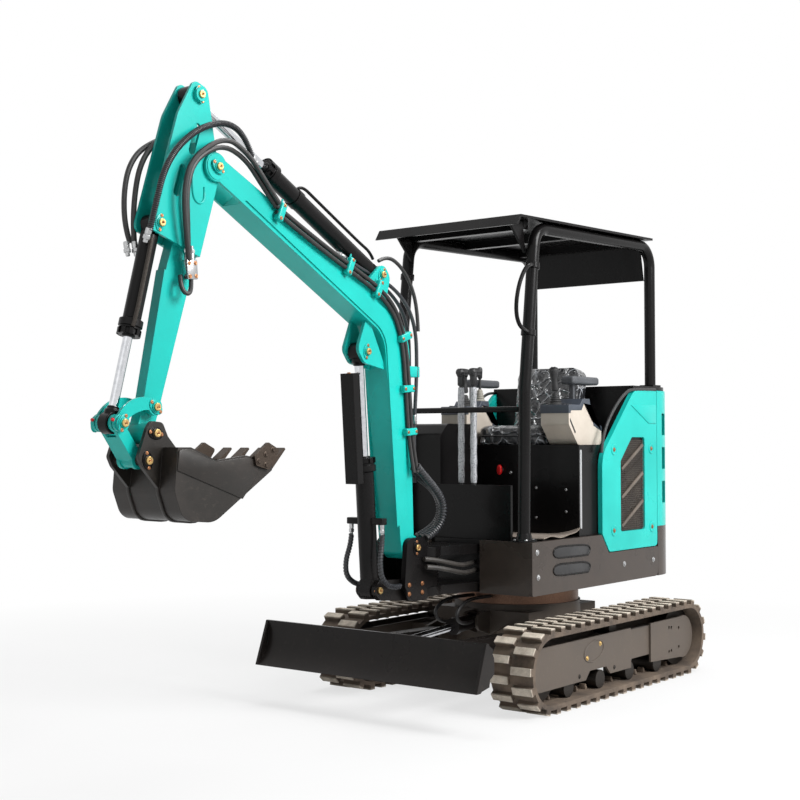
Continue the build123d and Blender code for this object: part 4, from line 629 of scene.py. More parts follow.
def arm_hoses():
    """Hoses over the boom's tip and down the arm, with their coupler and end fittings."""
    outer = [
        (2628, 66, 2052), (2612, 86, 2168), (2578, 90, 2290), (2500, 88, 2398), (2384, 88, 2486),
        (2240, 86, 2534), (2136, 86, 2492), (2092, 82, 2412),
    ]
    spread(
        sheathed(outer, 13), "bucket_hose_sheath", SHEATH,
    )
    for number, (shift, y) in enumerate(((0, 78), (30, 96)), 1):
        line = [
            (2424 + shift / 2, y - 18, 1958), (2440 + shift, y - 6, 2094), (2452 + shift, y, 2240),
            (2410 + shift, y + 2, 2358), (2266, y + 4, 2440 + shift), (2136, y + 4, 2404 + shift * 0.6),
            (2036, y + 2, 2312 + shift * 0.5), (1946, y - 2, 2232 + shift * 0.4),
        ]
        spread(
            hose(line, 10.5), f"arm_service_hose_{number}", HOSE,
        )
    for number, (dx, y) in enumerate(((0, -60), (34, -84)), 1):
        line = [
            (2432 - dx, y + 14, 2470), (2500 + dx * 0.4, y, 2420), (2562 + dx, y - 4, 2330),
            (2590 + dx, y - 4, 2210), (2600 + dx * 0.6, y, 2080), (2602, y + 10, 2020),
        ]
        dress(hose(line, 11), f"bucket_feed_hose_{number}", HOSE, "arm")
    for number, (dx, y) in enumerate(((0, -50), (20, -74)), 1):
        dress(
            fitting(mm(2602 + dx, y, 2022), (0.05, 0.25, -1), 9), f"bucket_feed_fitting_{number}", SILVER,
            "arm",
        )
    dress(
        fitting(mm(2629, 66, 2062), (0.06, -0.4, -1), 10), "bucket_hose_fitting", SILVER,
        "arm",
    )
    dress(
        fitting(mm(2094, 82, 2420), (-0.55, -0.1, -0.8), 10), "boom_hose_fitting", SILVER,
        "boom",
    )
    coupler_outline = [(2392, 1888), (2446, 1884), (2452, 1960), (2398, 1966)]
    block = look_on(plate(coupler_outline, 34, facing(LEFT, 48), 4), SILVER)
    ports = [fitting(mm(2412 + 26 * n, 66, 1960), (0.03, 0, 1), 8) for n in (0, 1)]
    keys = [
        bolt(mm(x, 82, z), (0, 1, 0), 6)
        for x, z in ((2404, 1900), (2436, 1896), (2408, 1950), (2440, 1946))
    ]
    dress(joined([block] + ports + keys), "arm_coupler", SILVER, "arm")
    loop = [
        (2416, 66, 1888), (2420, 72, 1850), (2438, 76, 1826), (2462, 72, 1836), (2470, 64, 1870),
        (2458, 50, 1898),
    ]
    dress(hose(loop, 9), "coupler_loop_hose", HOSE, "arm")
    ridge = hose(
        [
            (2392, 49, 2300), (2396, 49, 2250), (2384, 49, 2204), (2352, 49, 2190), (2326, 49, 2214),
            (2330, 49, 2262),
        ],
        5, TEAL,
    )
    dress(ridge, "arm_side_ridge", TEAL, "arm")


def boom_lines():
    """Hoses along the boom's left face and pipes behind its bend, held by painted clamps."""
    for number, (y, drop) in enumerate(((80, 0), (80, 26)), 1):
        line = [
            (1950, y, 2236 - drop), (1806, y, 2172 - drop), (1610, y, 2090 - drop), (1440, y, 2024 - drop),
            (1292, y, 1966 - drop), (1176 + drop / 2, y, 1900 - drop), (1104 + drop, y, 1806),
            (1062 + drop, y, 1690), (1044 + drop, y, 1530), (1028 + drop, y, 1356), (1012 + drop, y, 1230),
            (996 + drop, 92, 1110),
        ]
        dress(hose(line, 10), f"boom_hose_{number}", HOSE, "boom")
    for number, y in enumerate((-22, 22), 1):
        line = [
            (1440, y, 2080), (1330, y, 2038), (1180, y, 2006), (1060, y, 1960), (960, y, 1880),
            (912, y, 1770), (906, y, 1640), (910, y, 1530), (924, y, 1380), (930, y, 1210),
            (938, y * 1.6, 1060),
        ]
        dress(hose(line, 9, SHEATH), f"boom_pipe_{number}", SHEATH, "boom")
        for end, toward in ((line[0], (1, 0, 0.28)), (line[-3], (0.05, 0, -1))):
            dress(
                fitting(mm(*end), toward, 8), f"boom_pipe_{number}_fitting_{round(end[2])}", SILVER,
                "boom",
            )
    clamps = (
        (1926, 2212, 24), (1480, 2030, 24), (1276, 1948, 27), (1078, 1740, 70), (1060, 1500, 86),
        (1040, 1300, 86),
    )
    for number, (x, z, turn) in enumerate(clamps, 1):
        corners = [swung((x, z), turn, u, v) for u, v in ((-17, -40), (17, -40), (17, 40), (-17, 40))]
        saddle = look_on(plate(corners, 30, facing(LEFT, 69), 6, 3), TEAL)
        strap = [(y, swung((x, z), turn, 0, v)) for v, y in ((62, 71), (20, 74), (-30, 74))]
        legs = hose([(px, y, pz) for y, (px, pz) in strap], 4.5, TEAL)
        heads = [swung((x, z), turn, 0, v) for v in (-30, 30)]
        keys = [bolt(mm(px, 99, pz), (0, 1, 0), 5.5) for px, pz in heads]
        dress(joined([saddle, legs] + keys), f"boom_clamp_{number}", TEAL, "boom")
    bracket = [(892, 1560), (1040, 1560), (1040, 1612), (892, 1612)]
    dress(plate(bracket, 60, facing(LEFT, -30), 4), "boom_pipe_bracket", TEAL, "boom")
    feed = [
        (1170, 0, 2092), (1120, 8, 2120), (1040, 20, 2090), (960, 26, 2010), (906, 26, 1890),
        (898, 24, 1780),
    ]
    dress(hose(feed, 9), "arm_ram_feed_hose", HOSE, "boom")
    pipe = [
        (1236, 20, 2092), (1262, 24, 2122), (1330, 24, 2152), (1480, 24, 2229), (1640, 24, 2312),
        (1735, 24, 2361), (1752, 14, 2338),
    ]
    dress(hose(pipe, 7, BLACK), "arm_ram_pipe", BLACK, "arm_cylinder_barrel")


def gland(name, place, toward, radius, body):
    """Castellated gland nut with its wiper at a barrel's mouth."""
    rim = radius + 11
    nut = turned(
        [
            (radius, -66), (rim, -60), (rim, -34), (rim - 5, -31), (rim - 5, -26), (rim, -23), (rim, 0),
            (radius * 0.72, 0), (radius * 0.68, 7), (radius * 0.58, 7),
        ],
        Vector(), (0, 0, 1), 36,
    )
    pick(nut)
    bpy.ops.object.mode_set(mode="EDIT")
    bpy.ops.mesh.select_all(action="DESELECT")
    mesh = bmesh.from_edit_mesh(nut.data)
    for side in mesh.faces:
        middle = side.calc_center_median()
        turn = atan2(middle.y, middle.x) * 36 / (2 * pi)
        outer = -0.02 < middle.z < -0.002 and hypot(middle.x, middle.y) > radius / 1000
        side.select_set(outer and int(turn + 108) % 4 < 2)
    bmesh.update_edit_mesh(nut.data)
    bpy.ops.mesh.extrude_region_move()
    bpy.ops.transform.resize(value=(0.82, 0.82, 1), center_override=(0, 0, 0))
    done()
    nut.data.transform(pointing(place, toward))
    return dress(nut, name, BLACK, body)


def rod_eye(name, x, z, half, toward, rod, body):
    """Black forged eye and neck over a rod's end."""
    eye = turned(
        [(39, -half - 0.5), (41.6, -half + 2), (41.6, half - 2), (39, half + 0.5)], mm(x, 0, z), (0, 1, 0),
        40,
    )
    neck = turned(
        [(rod + 12, 30), (rod + 12, 46), (rod + 5, 56), (rod + 5, 62), (rod + 0.6, 64)], mm(x, 0, z),
        toward, 28,
    )
    return dress(joined([eye, neck]), name, BLACK, body)


def rams():
    """Glands, eyes, ports, pipes and hoses of the cylinders, and the boom rod's guard."""
    for name, (x0, z0), (x1, z1), mouth, barrel, rod, half in (
        ("boom", BOOM_RAM_BASE, BOOM_RAM_TOP, 1182, 43, 22, 30),
        ("arm", ARM_RAM_BASE, ARM_TAIL, 2405, 39, 20, 30),
        ("bucket", BUCKET_RAM_BASE, ROD_PIN, 1657, 35, 18, 24),
    ):
        share = (mouth - z0) / (z1 - z0)
        span = hypot(x1 - x0, z1 - z0)
        way = Vector(((x1 - x0) / span, 0, (z1 - z0) / span))
        gland(
            f"{name}_ram_gland", mm(x0 + (x1 - x0) * share, 0, mouth), way, barrel,
            f"{name}_cylinder_barrel",
        )
        rod_eye(f"{name}_rod_eye", x1, z1, half, -way, rod, f"{name}_cylinder_rod")
        if name == "arm":
            sleeve = turned([(barrel, 560), (barrel, share * span - 50)], mm(x0, 0, z0), way, 36)
            dress(sleeve, "arm_barrel_sleeve", BLACK, "arm_cylinder_barrel")
    base_x, base_z = BOOM_RAM_BASE
    lean = Vector((BOOM_RAM_TOP[0] - base_x, 0, BOOM_RAM_TOP[1] - base_z)).normalized()
    across = Vector((0, -1, 0))
    ahead = lean.cross(across)
    guard = [
        (-37, 0), (-37, 40), (-33, 44), (33, 44), (37, 40), (37, 0), (33, 0), (33, 38), (31, 40), (-31, 40),
        (-33, 38), (-33, 0),
    ]
    guard_start, guard_out, guard_length, strap_at = 0.494, 0.052, 0.499, 0.491
    turn = Matrix((across, ahead, lean)).transposed().to_4x4()
    low = mm(base_x, 0, base_z) + lean * guard_start + ahead * guard_out
    shell = look_on(plate(guard, guard_length * 1000, Matrix.Translation(low) @ turn), BLACK)
    strap = [(-22, -30), (22, -30), (22, 42), (-22, 42)]
    stay = look_on(plate(strap, 8, Matrix.Translation(low + lean * strap_at) @ turn, 2), BLACK)
    key = bolt(low + lean * guard_length + ahead * 0.024, lean, 7)
    dress(joined([shell, stay, key]), "boom_rod_guard", BLACK, "boom_cylinder_rod")
    port_height, ram_slope = 893, 0.0745
    x, z = base_x + (port_height - base_z) * ram_slope, port_height
    for name, side in SIDES[::-1]:
        arm = [(x - 19, z - 15), (x + 19, z - 15), (x + 19, z + 15), (x - 19, z + 15)]
        body = look_on(plate(arm, 76, facing(side, 28), 4), BLACK)
        nut = fitting(mm(x, side * 90, z - 10), (0, 0, -1), 8)
        dress(joined([body, nut]), f"boom_ram_port_{name}", BLACK, "boom_cylinder_barrel")
        line = [
            (x, side * 90, z - 62), (x + 4, side * 92, z - 110), (x + 30, side * 100, z - 180),
            (x + 24, side * 104, z - 250), (x - 30, side * 100, z - 292), (x - 90, side * 90, z - 304),
            (x - 140, side * 84, z - 304),
        ]
        spread(
            wrapped(line, 11), f"boom_ram_hose_{name}", SHEATH,
        )
    side = [(2596, 40, 2030), (2606, 44, 1990), (2640, 44, 1860), (2676, 44, 1720), (2684, 36, 1690)]
    dress(hose(side, 9, CAST), "bucket_ram_pipe", CAST, "bucket_cylinder_barrel")


def pins():
    """Pin faces at every visible joint of the working gear, and two grease caps on the link."""
    for name, middle, face, body, look, turn in (
        ("arm_tail", ARM_TAIL, 66, "arm", TEAL, 70),
        ("boom_tip", BOOM_TIP, 82, "boom", TEAL, 35),
        ("bucket_ram_base", BUCKET_RAM_BASE, 57, "arm", TEAL, 100),
        ("arm_ram_base", ARM_RAM_BASE, 58, "boom", TEAL, 120),
        ("boom_ram_top", BOOM_RAM_TOP, 58, "boom", TEAL, 100),
        ("boom_foot", BOOM_FOOT, 101, "swing", BLACK, 90),
        ("link_pin", LINK_PIN, 72, "arm", TEAL, 40),
        ("rod_pin", ROD_PIN, 84, "side_links", TEAL, 110),
        ("bucket_pin", BUCKET_PIN, 100, "bucket", BLACK, 10),
        ("bucket_link_pin", BUCKET_LINK_PIN, 100, "bucket", BLACK, 80),
        ("boom_ram_base", BOOM_RAM_BASE, 58, "swing", BLACK, 0),
    ):
        pin_ends(f"{name}_pin_heads", middle, face, body, look, turn)
    caps = [
        turned([(5, 0), (6, 3), (6, 13), (4, 15)], mm(2787, y, 1337), (0.95, 0, 0.3), 14) for y in (-57, 57)
    ]
    dress(joined(caps), "link_grease_caps", RED, "side_links")


arm_hoses()
boom_lines()
rams()
pins()


def padded_from(node, name, cap):
    """A seat pad from its CAD solid: remeshed, swollen by cloth pressure within a cap, and smoothed."""
    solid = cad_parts[node]
    pad = bpy.data.objects.new(name, solid.data.copy())
    bpy.context.scene.collection.objects.link(pad)
    pick(pad)
    edit()
    bpy.ops.mesh.remove_doubles(threshold=0.0001)
    bpy.ops.object.mode_set(mode="OBJECT")
    middle = sum((Vector(corner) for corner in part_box(node)), Vector()) / 2
    pad.data.transform(Matrix.Translation(middle) @ Matrix.Scale(1.01, 4) @ Matrix.Translation(-middle))
    pad.data.remesh_voxel_size = 0.008
    bpy.ops.object.voxel_remesh()
    shaped(pad, "SMOOTH", factor=0.5, iterations=14)
    before = [corner.co.copy() for corner in pad.data.vertices]
    cloth = pad.modifiers.new("swell", "CLOTH")
    cloth.settings.use_pressure = True
    cloth.settings.uniform_pressure_force = 4.0
    cloth.settings.effector_weights.gravity = 0.0
    scene = bpy.context.scene
    for moment in range(1, 21):
        scene.frame_set(moment)
    bpy.ops.object.modifier_apply(modifier="swell")
    for corner, start in zip(pad.data.vertices, before):
        step = corner.co - start
        if step.length > cap:
            corner.co = start + step * (cap / step.length)
    scene.frame_set(1)
    shaped(pad, "SMOOTH", iterations=4)
    shaped(pad, "SUBSURF", levels=1, render_levels=1)
    look_on(pad, VINYL)
    dress(pad, name, VINYL, "house", 80)
    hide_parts(node)
    return pad


def seat():
    """Cushion with piping and backrest, in their delivery film."""
    swell = 0.012
    padded_from("seat_cushion", "seat_cushion_pad", swell)
    padded_from("seat_back", "seat_back_pad", swell)
    rim = [
        (-236, -206, 1282), (-238, -120, 1284), (-238, 120, 1284), (-236, 206, 1282), (-160, 214, 1282),
        (20, 214, 1282), (70, 206, 1282), (76, 120, 1282), (76, -120, 1282), (70, -206, 1282),
        (20, -214, 1282), (-160, -214, 1282), (-236, -206, 1282),
    ]
    dress(hose(rim, 4, DARK), "cushion_piping", DARK, "house")


def floor_cover():
    """The loose mat: wavy, one corner curled up, lying on the floor plate."""
    low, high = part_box("floor_mat")
    lone()
    bpy.ops.mesh.primitive_grid_add(x_subdivisions=44, y_subdivisions=60, size=1, location=(0, 0, 0))
    mat = bpy.context.object
    for corner in mat.data.vertices:
        u, v = corner.co.x + 0.5, corner.co.y + 0.5
        x, y = low.x + (high.x - low.x) * u, low.y + (high.y - low.y) * v
        wave = 0.004 * (1 + sin(11 * v + 2)) * u + 0.005 * (1 + sin(13 * u + 4 * v)) * v ** 3
        curl = max(0.0, v - u - 0.6) ** 2 * 0.25
        corner.co = (x, y, low.z + 0.001 + wave + curl)
    edit()
    bpy.ops.mesh.extrude_region_move(TRANSFORM_OT_translate={"value": (0, 0, 0.005)})
    done()
    dress(mat, "floor_mat_sheet", MAT, "house", 50)
    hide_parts("floor_mat")


def bellows(x, y, z, wide, narrow, height, folds):
    """Gathered rubber boot round a lever's foot."""
    profile = [(wide + 3, 0), (wide + 3, 4)]
    for fold in range(folds):
        share = fold / folds
        radius = wide + (narrow - wide) * share
        rise = 4 + (height - 4) * share
        step = (height - 4) / folds
        profile += [(radius, rise + step * 0.25), (radius * 0.8, rise + step * 0.8)]
    profile += [(narrow * 0.8, height), (narrow * 0.7, height + 2)]
    return look_on(turned(profile, mm(x, y, z), (0, 0, 1), 24), RUBBER)


def grip(x, y, z, lean):
    """Moulded hand grip with a thumb ledge and a two-button head."""
    profile = [
        (12, 0), (19, 4), (20, 20), (17, 44), (18, 66), (22, 88), (26, 104), (24, 116), (15, 122), (6, 124)
    ]
    hand = look_on(turned(profile, mm(x, y, z), lean, 20), DARK)
    way = Vector(lean).normalized()
    side = way.cross(Vector((1, 0, 0))).normalized()
    top = mm(x, y, z) + way * 0.119
    caps = [
        look_on(turned([(5, 0), (5, 4), (3.5, 6)], top + side * s * 0.009, way, 14), GREY) for s in (-1, 1)
    ]
    return [hand] + caps


def controls():
    """Joysticks in their boots, travel grips, film on the shafts, the extra lever and small knobs."""
    for name, side in SIDES:
        x, y = 72, side * 284
        stick = joined([bellows(x, y, 1440, 36, 15, 62, 5)] + grip(x, y, 1512, (0.16, 0.0, 1)))
        dress(stick, f"{name}_joystick_grip", DARK, "house")
        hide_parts(f"{name}_joystick")
    for number, y in enumerate((-38, 38), 1):
        stem = turned([(14, 0), (18, 6), (18, 40), (20, 66), (14, 82)], mm(LEVER_X, y, 1534), (0, 0, 1), 20)
        arm = turned(
            [(12, 0), (19, 7), (20, 30), (18.5, 60), (16, 82), (8, 88)], mm(LEVER_X + 27, y, 1602),
            (-1, 0, 0.05), 20,
        )
        dress(joined([stem, arm]), f"travel_grip_{number}", DARK, "house", 50)
        wrap = [
            (15, 0), (17.5, 30), (15.5, 70), (18, 110), (16, 160), (18, 210), (15.5, 270), (18, 330),
            (16, 390), (17.5, 440), (15, 480),
        ]
        film = turned(wrap, mm(LEVER_X, y, 1046), (0, 0, 1), 14)
        dress(film, f"travel_shaft_film_{number}", FILM, "house")
        dress(
            bellows(LEVER_X, y, 772, 34, 17, 54, 4), f"travel_boot_{number}", RUBBER,
            "house",
        )
    x, y = -40, -262
    extra = [
        look_on(bellows(x, y, 1470, 28, 13, 64, 5), BOOT),
        look_on(turned([(7, 0), (7, 80)], mm(x, y, 1530), (0, 0, 1), 14), DARK),
        look_on(
            turned([(8, 0), (13, 8), (15, 50), (12, 62), (4, 66)], mm(x, y, 1592), (0, 0, 1), 18), DARK
        ),
    ]
    dress(joined(extra), "blade_lever", DARK, "house")
    base = look_on(
        turned([(16, 0), (16, 3), (10, 4), (10, 10)], mm(SEAT_BOX_FRONT, -46, 1104), (1, 0, 0), 20), DARK
    )
    rim = [(-46 + 13 * cos(pi * n / 8), 1104 + 27 * sin(pi * n / 8)) for n in range(16)]
    key = look_on(
        plate(rim, 16, FACING_AHEAD @ Matrix.Translation((0, 0, (SEAT_BOX_FRONT + 8) / 1000)), 5, 3), RED
    )
    dress(joined([base, key]), "battery_key", RED, "house")
    barrel = turned([(9, 0), (9, 4), (6, 5), (6, 9)], mm(SEAT_BOX_FRONT, 16, 1089), (1, 0, 0), 16)
    dress(barrel, "key_barrel", SILVER, "house")
    screws = [(-213, 1139), (170, 1014), (349, 1007), (349, 895), (-213, 860), (170, 860)]
    bolts("seat_box_screws", [(SEAT_BOX_FRONT, y, z) for y, z in screws], (1, 0, 0), 5, SILVER, "house")


def consoles():
    """Dark capping along each console's top, and a row of switches."""
    for name, side in SIDES:
        skin = [
            (133, 1396), (133, 1440), (16, 1440), (-8, 1472), (-77, 1472), (-105, 1360), (-203, 1331),
            (-203, 1305), (-118, 1334), (-92, 1438), (-20, 1446), (4, 1412), (110, 1410), (112, 1396),
        ]
        cap = plate(skin, 170, facing(side, 229.5), 3, 3)
        keys = [
            plate(
                [(x, side * y) for x, y in ((34 + n, 342), (56 + n, 342), (56 + n, 360), (34 + n, 360))], 7,
                facing_up(1438), 2,
            )
            for n in (0, 28, 56)
        ]
        dress(
            joined([look_on(cap, SLATE)] + [look_on(key, DARK) for key in keys]), f"{name}_console_top",
            SLATE, "house",
        )
        # painted shade: a flat dark sliver on the console's side stands in for the slot's shaded inside
        slot = plate([(62, 1300), (70, 1294), (118, 1356), (118, 1372)], 3, facing(side, 396), 1)
        dress(slot, f"{name}_console_slot", DARK, "house")


def honeycomb(x0, x1, z0, z1, y, cell=15.0):
    """Hexagon wire mesh over a rectangle of the (x, z) plane."""
    lone()
    bpy.ops.mesh.primitive_circle_add(vertices=6, radius=cell / 2000, fill_type="NGON", location=(0, 0, 0))
    comb = bpy.context.object
    pitch_x, pitch_z = cell * 0.866, cell * 0.75
    pair = (2, pitch_x / 2, pitch_z)
    across = (int((x1 - x0) / pitch_x), pitch_x, 0)
    upward = (int((z1 - z0) / pitch_z / 2), 0, 2 * pitch_z)
    for count, step_x, step_z in (pair, across, upward):
        shaped(comb, "ARRAY", use_relative_offset=False, use_constant_offset=True, count=count,
               constant_offset_displace=(step_x / 1000, step_z / 1000, 0),
               use_merge_vertices=True, merge_threshold=0.0004)
    shaped(comb, "WIREFRAME", thickness=0.0022)
    comb.data.transform(facing(LEFT, y) @ Matrix.Translation((x0 / 1000, z0 / 1000, 0)))
    return outward(comb)


def side_panels():
    """Mesh, bars, edge trim, dimpled bolts and the scoop on both side panels, and the skirts' slots."""
    for name, side in SIDES:
        mesh = honeycomb(-562, -300, 790, 1268, 0)
        mesh.data.transform(Matrix.Translation((0, side * (PANEL_FACE - 6.5) / 1000, 0)))
        dress(mesh, f"{name}_panel_mesh", WIRE, "house", 20)
        bars = []
        for z in (850, 1000, 1150):
            line = [(-306, z - 40), (-318, z - 52), (-552, z + 76), (-540, z + 90)]
            bars.append(plate(line, 7, facing(side, PANEL_FACE - 6), 2))
        dress(joined(bars), f"{name}_panel_bars", WIRE, "house")
        edge = [
            (-101, 1190), (-108, 1236), (-150, 1330), (-258, 1440), (-372, 1512), (-455, 1530), (-700, 1531)
        ]
        trim = hose([(x + 4, side * (PANEL_FACE - 2), z + 4) for x, z in edge], 8, DARK)
        dress(trim, f"{name}_panel_trim", DARK, "house")
        spots = [(-227, 1209), (-642, 1212), (-223, 787), (-648, 786)]
        dish = [(30, -1.0), (30, 1.4), (26, 4.6), (23, 4.2), (15, 1.2), (10, 0.6)]
        dishes = [turned(dish, mm(x, side * PANEL_FACE, z), (0, side, 0), 28) for x, z in spots]
        dress(joined(dishes), f"{name}_panel_dimples", TEAL, "house", 50)
        bolts(
            f"{name}_panel_bolts", [(x, side * (PANEL_FACE + 1), z) for x, z in spots], (0, side, 0), 8,
            COPPER, "house",
        )
        fold = plate(
            [(-410, 1446), (-694, 1452), (-694, 1348), (-612, 1348)], 9, facing(side, PANEL_FACE - 4), 7, 3
        )
        dress(fold, f"{name}_panel_scoop", TEAL, "house")
        slots = []
        for z in (706, 620):
            ring = [
                (52, z - 26), (20, z), (52, z + 26), (205, z + 31), (360, z + 34), (392, z + 4),
                (360, z - 22), (205, z - 24), (52, z - 26),
            ]
            slots.append(hose([(x, side * PANEL_FACE, at) for x, at in ring], 5, BLACK))
            # painted shade: the flat dark fill inside each rim stands in for the slot's shaded hollow
            slots.append(look_on(plate(ring[:-1], 3, facing(side, PANEL_FACE - 1.5), 1), DARK))
        dress(joined(slots), f"{name}_skirt_slots", BLACK, "house")
        spots = [(x, side * PANEL_FACE, z) for x, z in ((531, 723), (522, 603), (-658, 606), (-330, 606))]
        bolts(f"{name}_skirt_bolts", spots, (0, side, 0), 10, SILVER, "house")
    trim = hose([(66, 426, 812), (66, 426, 1000), (66, 426, 1210)], 7, ALUMINIUM)
    dress(trim, "seat_box_trim", ALUMINIUM, "house")


def canopy_details():
    """Grab handle, post cuffs and feet, and roof bolts."""
    bar = [
        (452, 388, 2112), (520, 428, 2112), (590, 434, 2086), (652, 434, 1990), (676, 434, 1880),
        (650, 434, 1806), (560, 420, 1782), (484, 388, 1782),
    ]
    dress(hose(bar, 10, BLACK), "grab_handle", BLACK, "house")
    for name, side in SIDES:
        cuffs = [
            turned([(32, -16), (36, -14), (36, 14), (32, 16)], mm(x, side * POST_Y, z), (-0.12, 0, 1), 24)
            for x, z in ((447, 2112), (488, 1782))
        ]
        foot = turned(
            [(52, 0), (52, 8), (40, 12), (34, 40)], mm(POST_X, side * POST_Y, POST_FOOT), (0, 0, 1), 24
        )
        dress(joined(cuffs + [foot]), f"{name}_post_cuffs", BLACK, "house")
        spots = [(POST_X + u, side * (POST_Y + v), POST_FOOT + 8) for u in (-31, 31) for v in (-31, 31)]
        bolts(f"{name}_post_bolts", spots, (0, 0, 1), 7, SILVER, "house")
        spots = [(x, side * 400, 2356 - 0.0283 * x) for x in (-600, -300, 0, 300)]
        bolts(f"{name}_roof_bolts", spots, (0, 0, 1), 8, SILVER, "house")


def foot_hoses():
    """Looms from the boom's foot into the post, braided lines into the house and the blade's hose loops."""
    for number, (y, reach) in enumerate(((92, 0), (60, 34), (30, 60)), 1):
        line = [
            (1000 + reach * 0.2, y, 1140), (944 - reach * 0.4, y + 4, 1090), (860 - reach, y + 6, 1030),
            (800 - reach, y + 8, 960), (808 - reach, y + 8, 880), (862 - reach * 0.5, y + 4, 826),
            (930, y, 800),
        ]
        spread(
            sheathed(line, 19, 15), f"boom_foot_loom_{number}", SHEATH,
        )
    for number, (y, z) in enumerate(((104, 700), (116, 664), (-104, 690)), 1):
        line = [
            (960, y, z + 4), (900, y * 1.16, z - 2), (820, y * 1.3, z - 20), (720, y * 1.3, z - 40),
            (640, y * 1.1, z - 46), (560, y, z - 40),
        ]
        spread(
            hose(line, 12, BRAID), f"swing_line_{number}", BRAID,
        )
    for number, y in enumerate((52, -52), 1):
        loop = [
            (330, y, 470), (420, y, 474), (560, y * 1.2, 470), (640, y * 1.3, 430), (640, y * 1.2, 380),
            (560, y, 352), (470, y * 0.7, 356),
        ]
        dress(hose(loop, 9), f"blade_hose_{number}", HOSE, "undercarriage")
    bolts(
        "cheek_bolts", [(1060, 93, 590), (1060, 93, 548), (960, 93, 590), (960, 93, 548)], (0, 1, 0), 8,
        COPPER, "swing",
    )


seat()
floor_cover()
controls()
consoles()
side_panels()
canopy_details()
foot_hoses()


def loop_place(share):
    """A place on the track's loop line, and its outward direction, for a share of the way round."""
    reach, radius, axle = TRACK_REACH, BELT_INSIDE, AXLE_HEIGHT
    around = 4 * reach + 2 * pi * radius
    way = share * around
    if way < 2 * reach:
        return (reach - way, axle + radius), (0.0, 1.0)
    way -= 2 * reach
    if way < pi * radius:
        turn = pi / 2 + way / radius
        return (-reach + radius * cos(turn), axle + radius * sin(turn)), (cos(turn), sin(turn))
    way -= pi * radius
    if way < 2 * reach:
        return (-reach + way, axle - radius), (0.0, -1.0)
    way -= 2 * reach
    turn = -pi / 2 + way / radius
    return (reach + radius * cos(turn), axle + radius * sin(turn)), (cos(turn), sin(turn))


def track_details():
    """Drive teeth inside the belts, and the frames' covers and bolts."""
    lone()
    bpy.ops.mesh.primitive_cube_add(size=1, location=(0, 0, 0))
    tooth = bpy.context.object
    edit()
    bpy.ops.transform.resize(value=(0.022, 0.046, 0.026))
    bpy.ops.transform.translate(value=(0, 0, -0.013))
    bpy.ops.object.mode_set(mode="OBJECT")
    for corner in tooth.data.vertices:
        if corner.co.z < -0.02:
            corner.co.x *= 0.5
            corner.co.y *= 0.7
    shaped(tooth, "BEVEL", width=0.003, segments=2)
    count = 44
    for name, side in SIDES:
        teeth = []
        for number in range(count):
            (x, z), (out_x, out_z) = loop_place(number / count)
            turn = Matrix.Rotation(atan2(out_x, out_z), 4, "Y")
            teeth.append(copy_of(tooth, Matrix.Translation(mm(x, side * TRACK_MIDDLE, z)) @ turn))
        dress(joined(teeth), f"{name}_drive_teeth", TREAD, "undercarriage")
        turns = [pi * n / 12 for n in range(24)]
        rim = [(262 + 92 * cos(t) - 22 * sin(t), 237 + 50 * sin(t)) for t in turns]
        cover = hose([(x, side * (FRAME_FACE + 1), z) for x, z in rim + rim[:1]], 3.5, CHARCOAL)
        dress(cover, f"{name}_frame_cover", CHARCOAL, "undercarriage")
        for kind, places, size, look in (
            ("frame", ((325, 208), (198, 265)), 9, GOLD),
            ("roller", ((400, 132), (60, 132)), 8, CAST),
        ):
            spots = [(x, side * FRAME_FACE, z) for x, z in places]
            bolts(f"{name}_{kind}_bolts", spots, (0, side, 0), size, look, "undercarriage")
    bpy.data.objects.remove(tooth)


def on_bucket(along, drop):
    """A place in the bucket's own outline, from its pin along the mouth and down its side."""
    return swung(BUCKET_PIN, BUCKET_TURN, along, drop)


def bucket_details():
    """Cutter bolts, raised bands on the side plates and two wear ribs round the back."""
    back = [
        (41, 150), (41, 201), (43, 214), (47.4, 227.5), (75.5, 282), (88, 300), (104, 312), (120, 318),
        (137.7, 320), (215, 320), (240, 317), (266, 308), (287, 296),
    ]
    rim = []
    for before, (along, drop), after in zip(back[:1] + back, back, back[1:] + back[-1:]):
        run = Vector((after[0] - before[0], after[1] - before[1])).normalized()
        rim.append((along - run.y * 7, drop + run.x * 7))
    band = [on_bucket(*place) for place in rim + [(a + 2, d - 2) for a, d in reversed(back)]]
    ribs = [plate(band, 14, facing(LEFT, y), 1.5) for y in (-90, 76)]
    dress(joined(ribs), "bucket_back_ribs", WORN, "bucket")
    cheek = [
        (45, 62), (60, 54), (107, 50), (175, 70), (242, 86), (320, 70), (403, 55), (455, 60), (480, 110),
        (398, 220), (44, 136),
    ]
    for name, side in SIDES:
        spots = [on_bucket(*place) for place in ((462, 66), (500, 36), (540, 14), (506, 78))]
        bolts(
            f"{name}_cutter_bolts", [(x, side * (BUCKET_SIDE + 16), z) for x, z in spots], (0, side, 0), 9,
            TOOTH, "bucket",
        )
        strip = plate([on_bucket(*place) for place in cheek], 7, facing(side, BUCKET_SIDE), 2.5)
        dress(strip, f"{name}_bucket_cheek", WORN, "bucket")


track_details()
bucket_details()


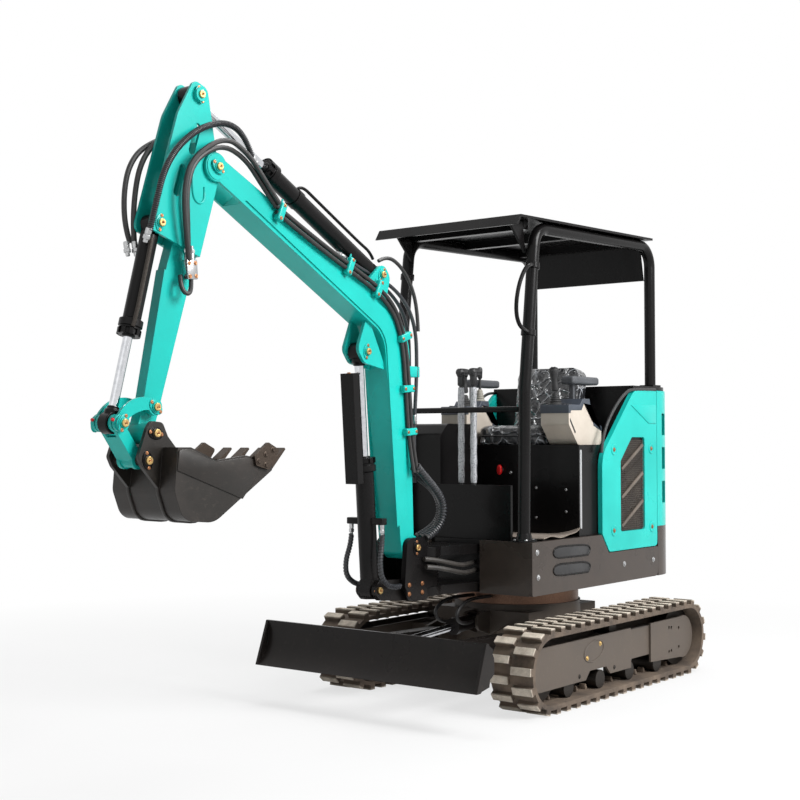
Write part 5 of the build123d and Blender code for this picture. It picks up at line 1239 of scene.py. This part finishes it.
def studio():
    """Pale floor and backdrop, a broad key from the machine's left, a soft fill and an even sky."""
    lone()
    bpy.ops.mesh.primitive_plane_add(size=60, location=(0, 0, -0.0005))
    floor = bpy.context.object
    floor.name = floor.data.name = "studio_floor"
    f = Finish("pale_floor")
    grain = f.span(f.noise(2.0), 0.0, 1.0, 0.6, 0.64)
    f.set(
        Base_Color=f.add("ShaderNodeCombineColor", {0: grain, 1: grain, 2: grain}).outputs[0], Roughness=0.9
    )
    rays = f.add("ShaderNodeLightPath").outputs
    seen = f.sum(
        "MAXIMUM", f.sum("MAXIMUM", rays["Is Camera Ray"], rays["Is Glossy Ray"]),
        rays["Is Transmission Ray"],
    )
    glow = f.add("ShaderNodeEmission", {"Color": (1, 1, 1, 1), "Strength": 1.0}).outputs[0]
    reach = f.add("ShaderNodeVectorMath", {0: f.place}, operation="LENGTH").outputs["Value"]
    share = f.sum("MULTIPLY", seen, f.span(reach, 1.6, 5.0, 0.7, 1.0))
    both = f.add("ShaderNodeMixShader", {0: share, 1: f.shader.outputs[0], 2: glow})
    f.tree.links.new(both.outputs[0], f.tree.nodes["Material Output"].inputs[0])
    floor.data.materials.append(f.material)
    world = bpy.data.worlds.new("studio_sky")
    world.use_nodes = True
    tree = world.node_tree
    sky = tree.nodes["Background"]
    sky.inputs["Color"].default_value = (1, 1, 1, 1)
    rays = tree.nodes.new("ShaderNodeLightPath").outputs
    seen = rays["Is Camera Ray"]
    for kind in ("Is Transmission Ray", "Is Glossy Ray"):
        either = tree.nodes.new("ShaderNodeMath")
        either.operation = "MAXIMUM"
        tree.links.new(seen, either.inputs[0])
        tree.links.new(rays[kind], either.inputs[1])
        seen = either.outputs[0]
    level = tree.nodes.new("ShaderNodeMapRange")
    level.inputs["To Min"].default_value = SKY_LIGHT
    tree.links.new(seen, level.inputs["Value"])
    tree.links.new(level.outputs[0], sky.inputs["Strength"])
    bpy.context.scene.world = world
    for name, spot, size, power in STUDIO_LAMPS:
        lone()
        bpy.ops.object.light_add(type="AREA", location=spot)
        lamp = bpy.context.object
        lamp.name = name
        lamp.data.size = size
        lamp.data.energy = power
        lamp.rotation_euler = (Vector(LAMP_AIM) - Vector(spot)).to_track_quat("-Z", "Y").to_euler()


SKY_LIGHT = 0.3
LAMP_AIM = (0.1, 0.0, 1.0)
STUDIO_LAMPS = (
    ("key_lamp", (-0.9, 5.6, 5.0), 3.4, 720),
    ("top_lamp", (-1.6, -0.5, 6.5), 4.0, 300),
    ("fill_lamp", (6.5, 1.0, 3.0), 4.0, 18),
)
studio()

CAMERA_PLACE = (5.180, 3.928, 1.267)
CAMERA_TURN = tuple(radians(degrees) for degrees in (91.64, 0.1, 127.78))
bpy.ops.object.camera_add(location=CAMERA_PLACE, rotation=CAMERA_TURN)
camera = bpy.context.object
camera.data.sensor_width = 36.0
camera.data.lens = 61.17
camera.data.dof.use_dof = False
bpy.context.scene.camera = camera
bpy.context.scene.view_settings.view_transform = "Standard"
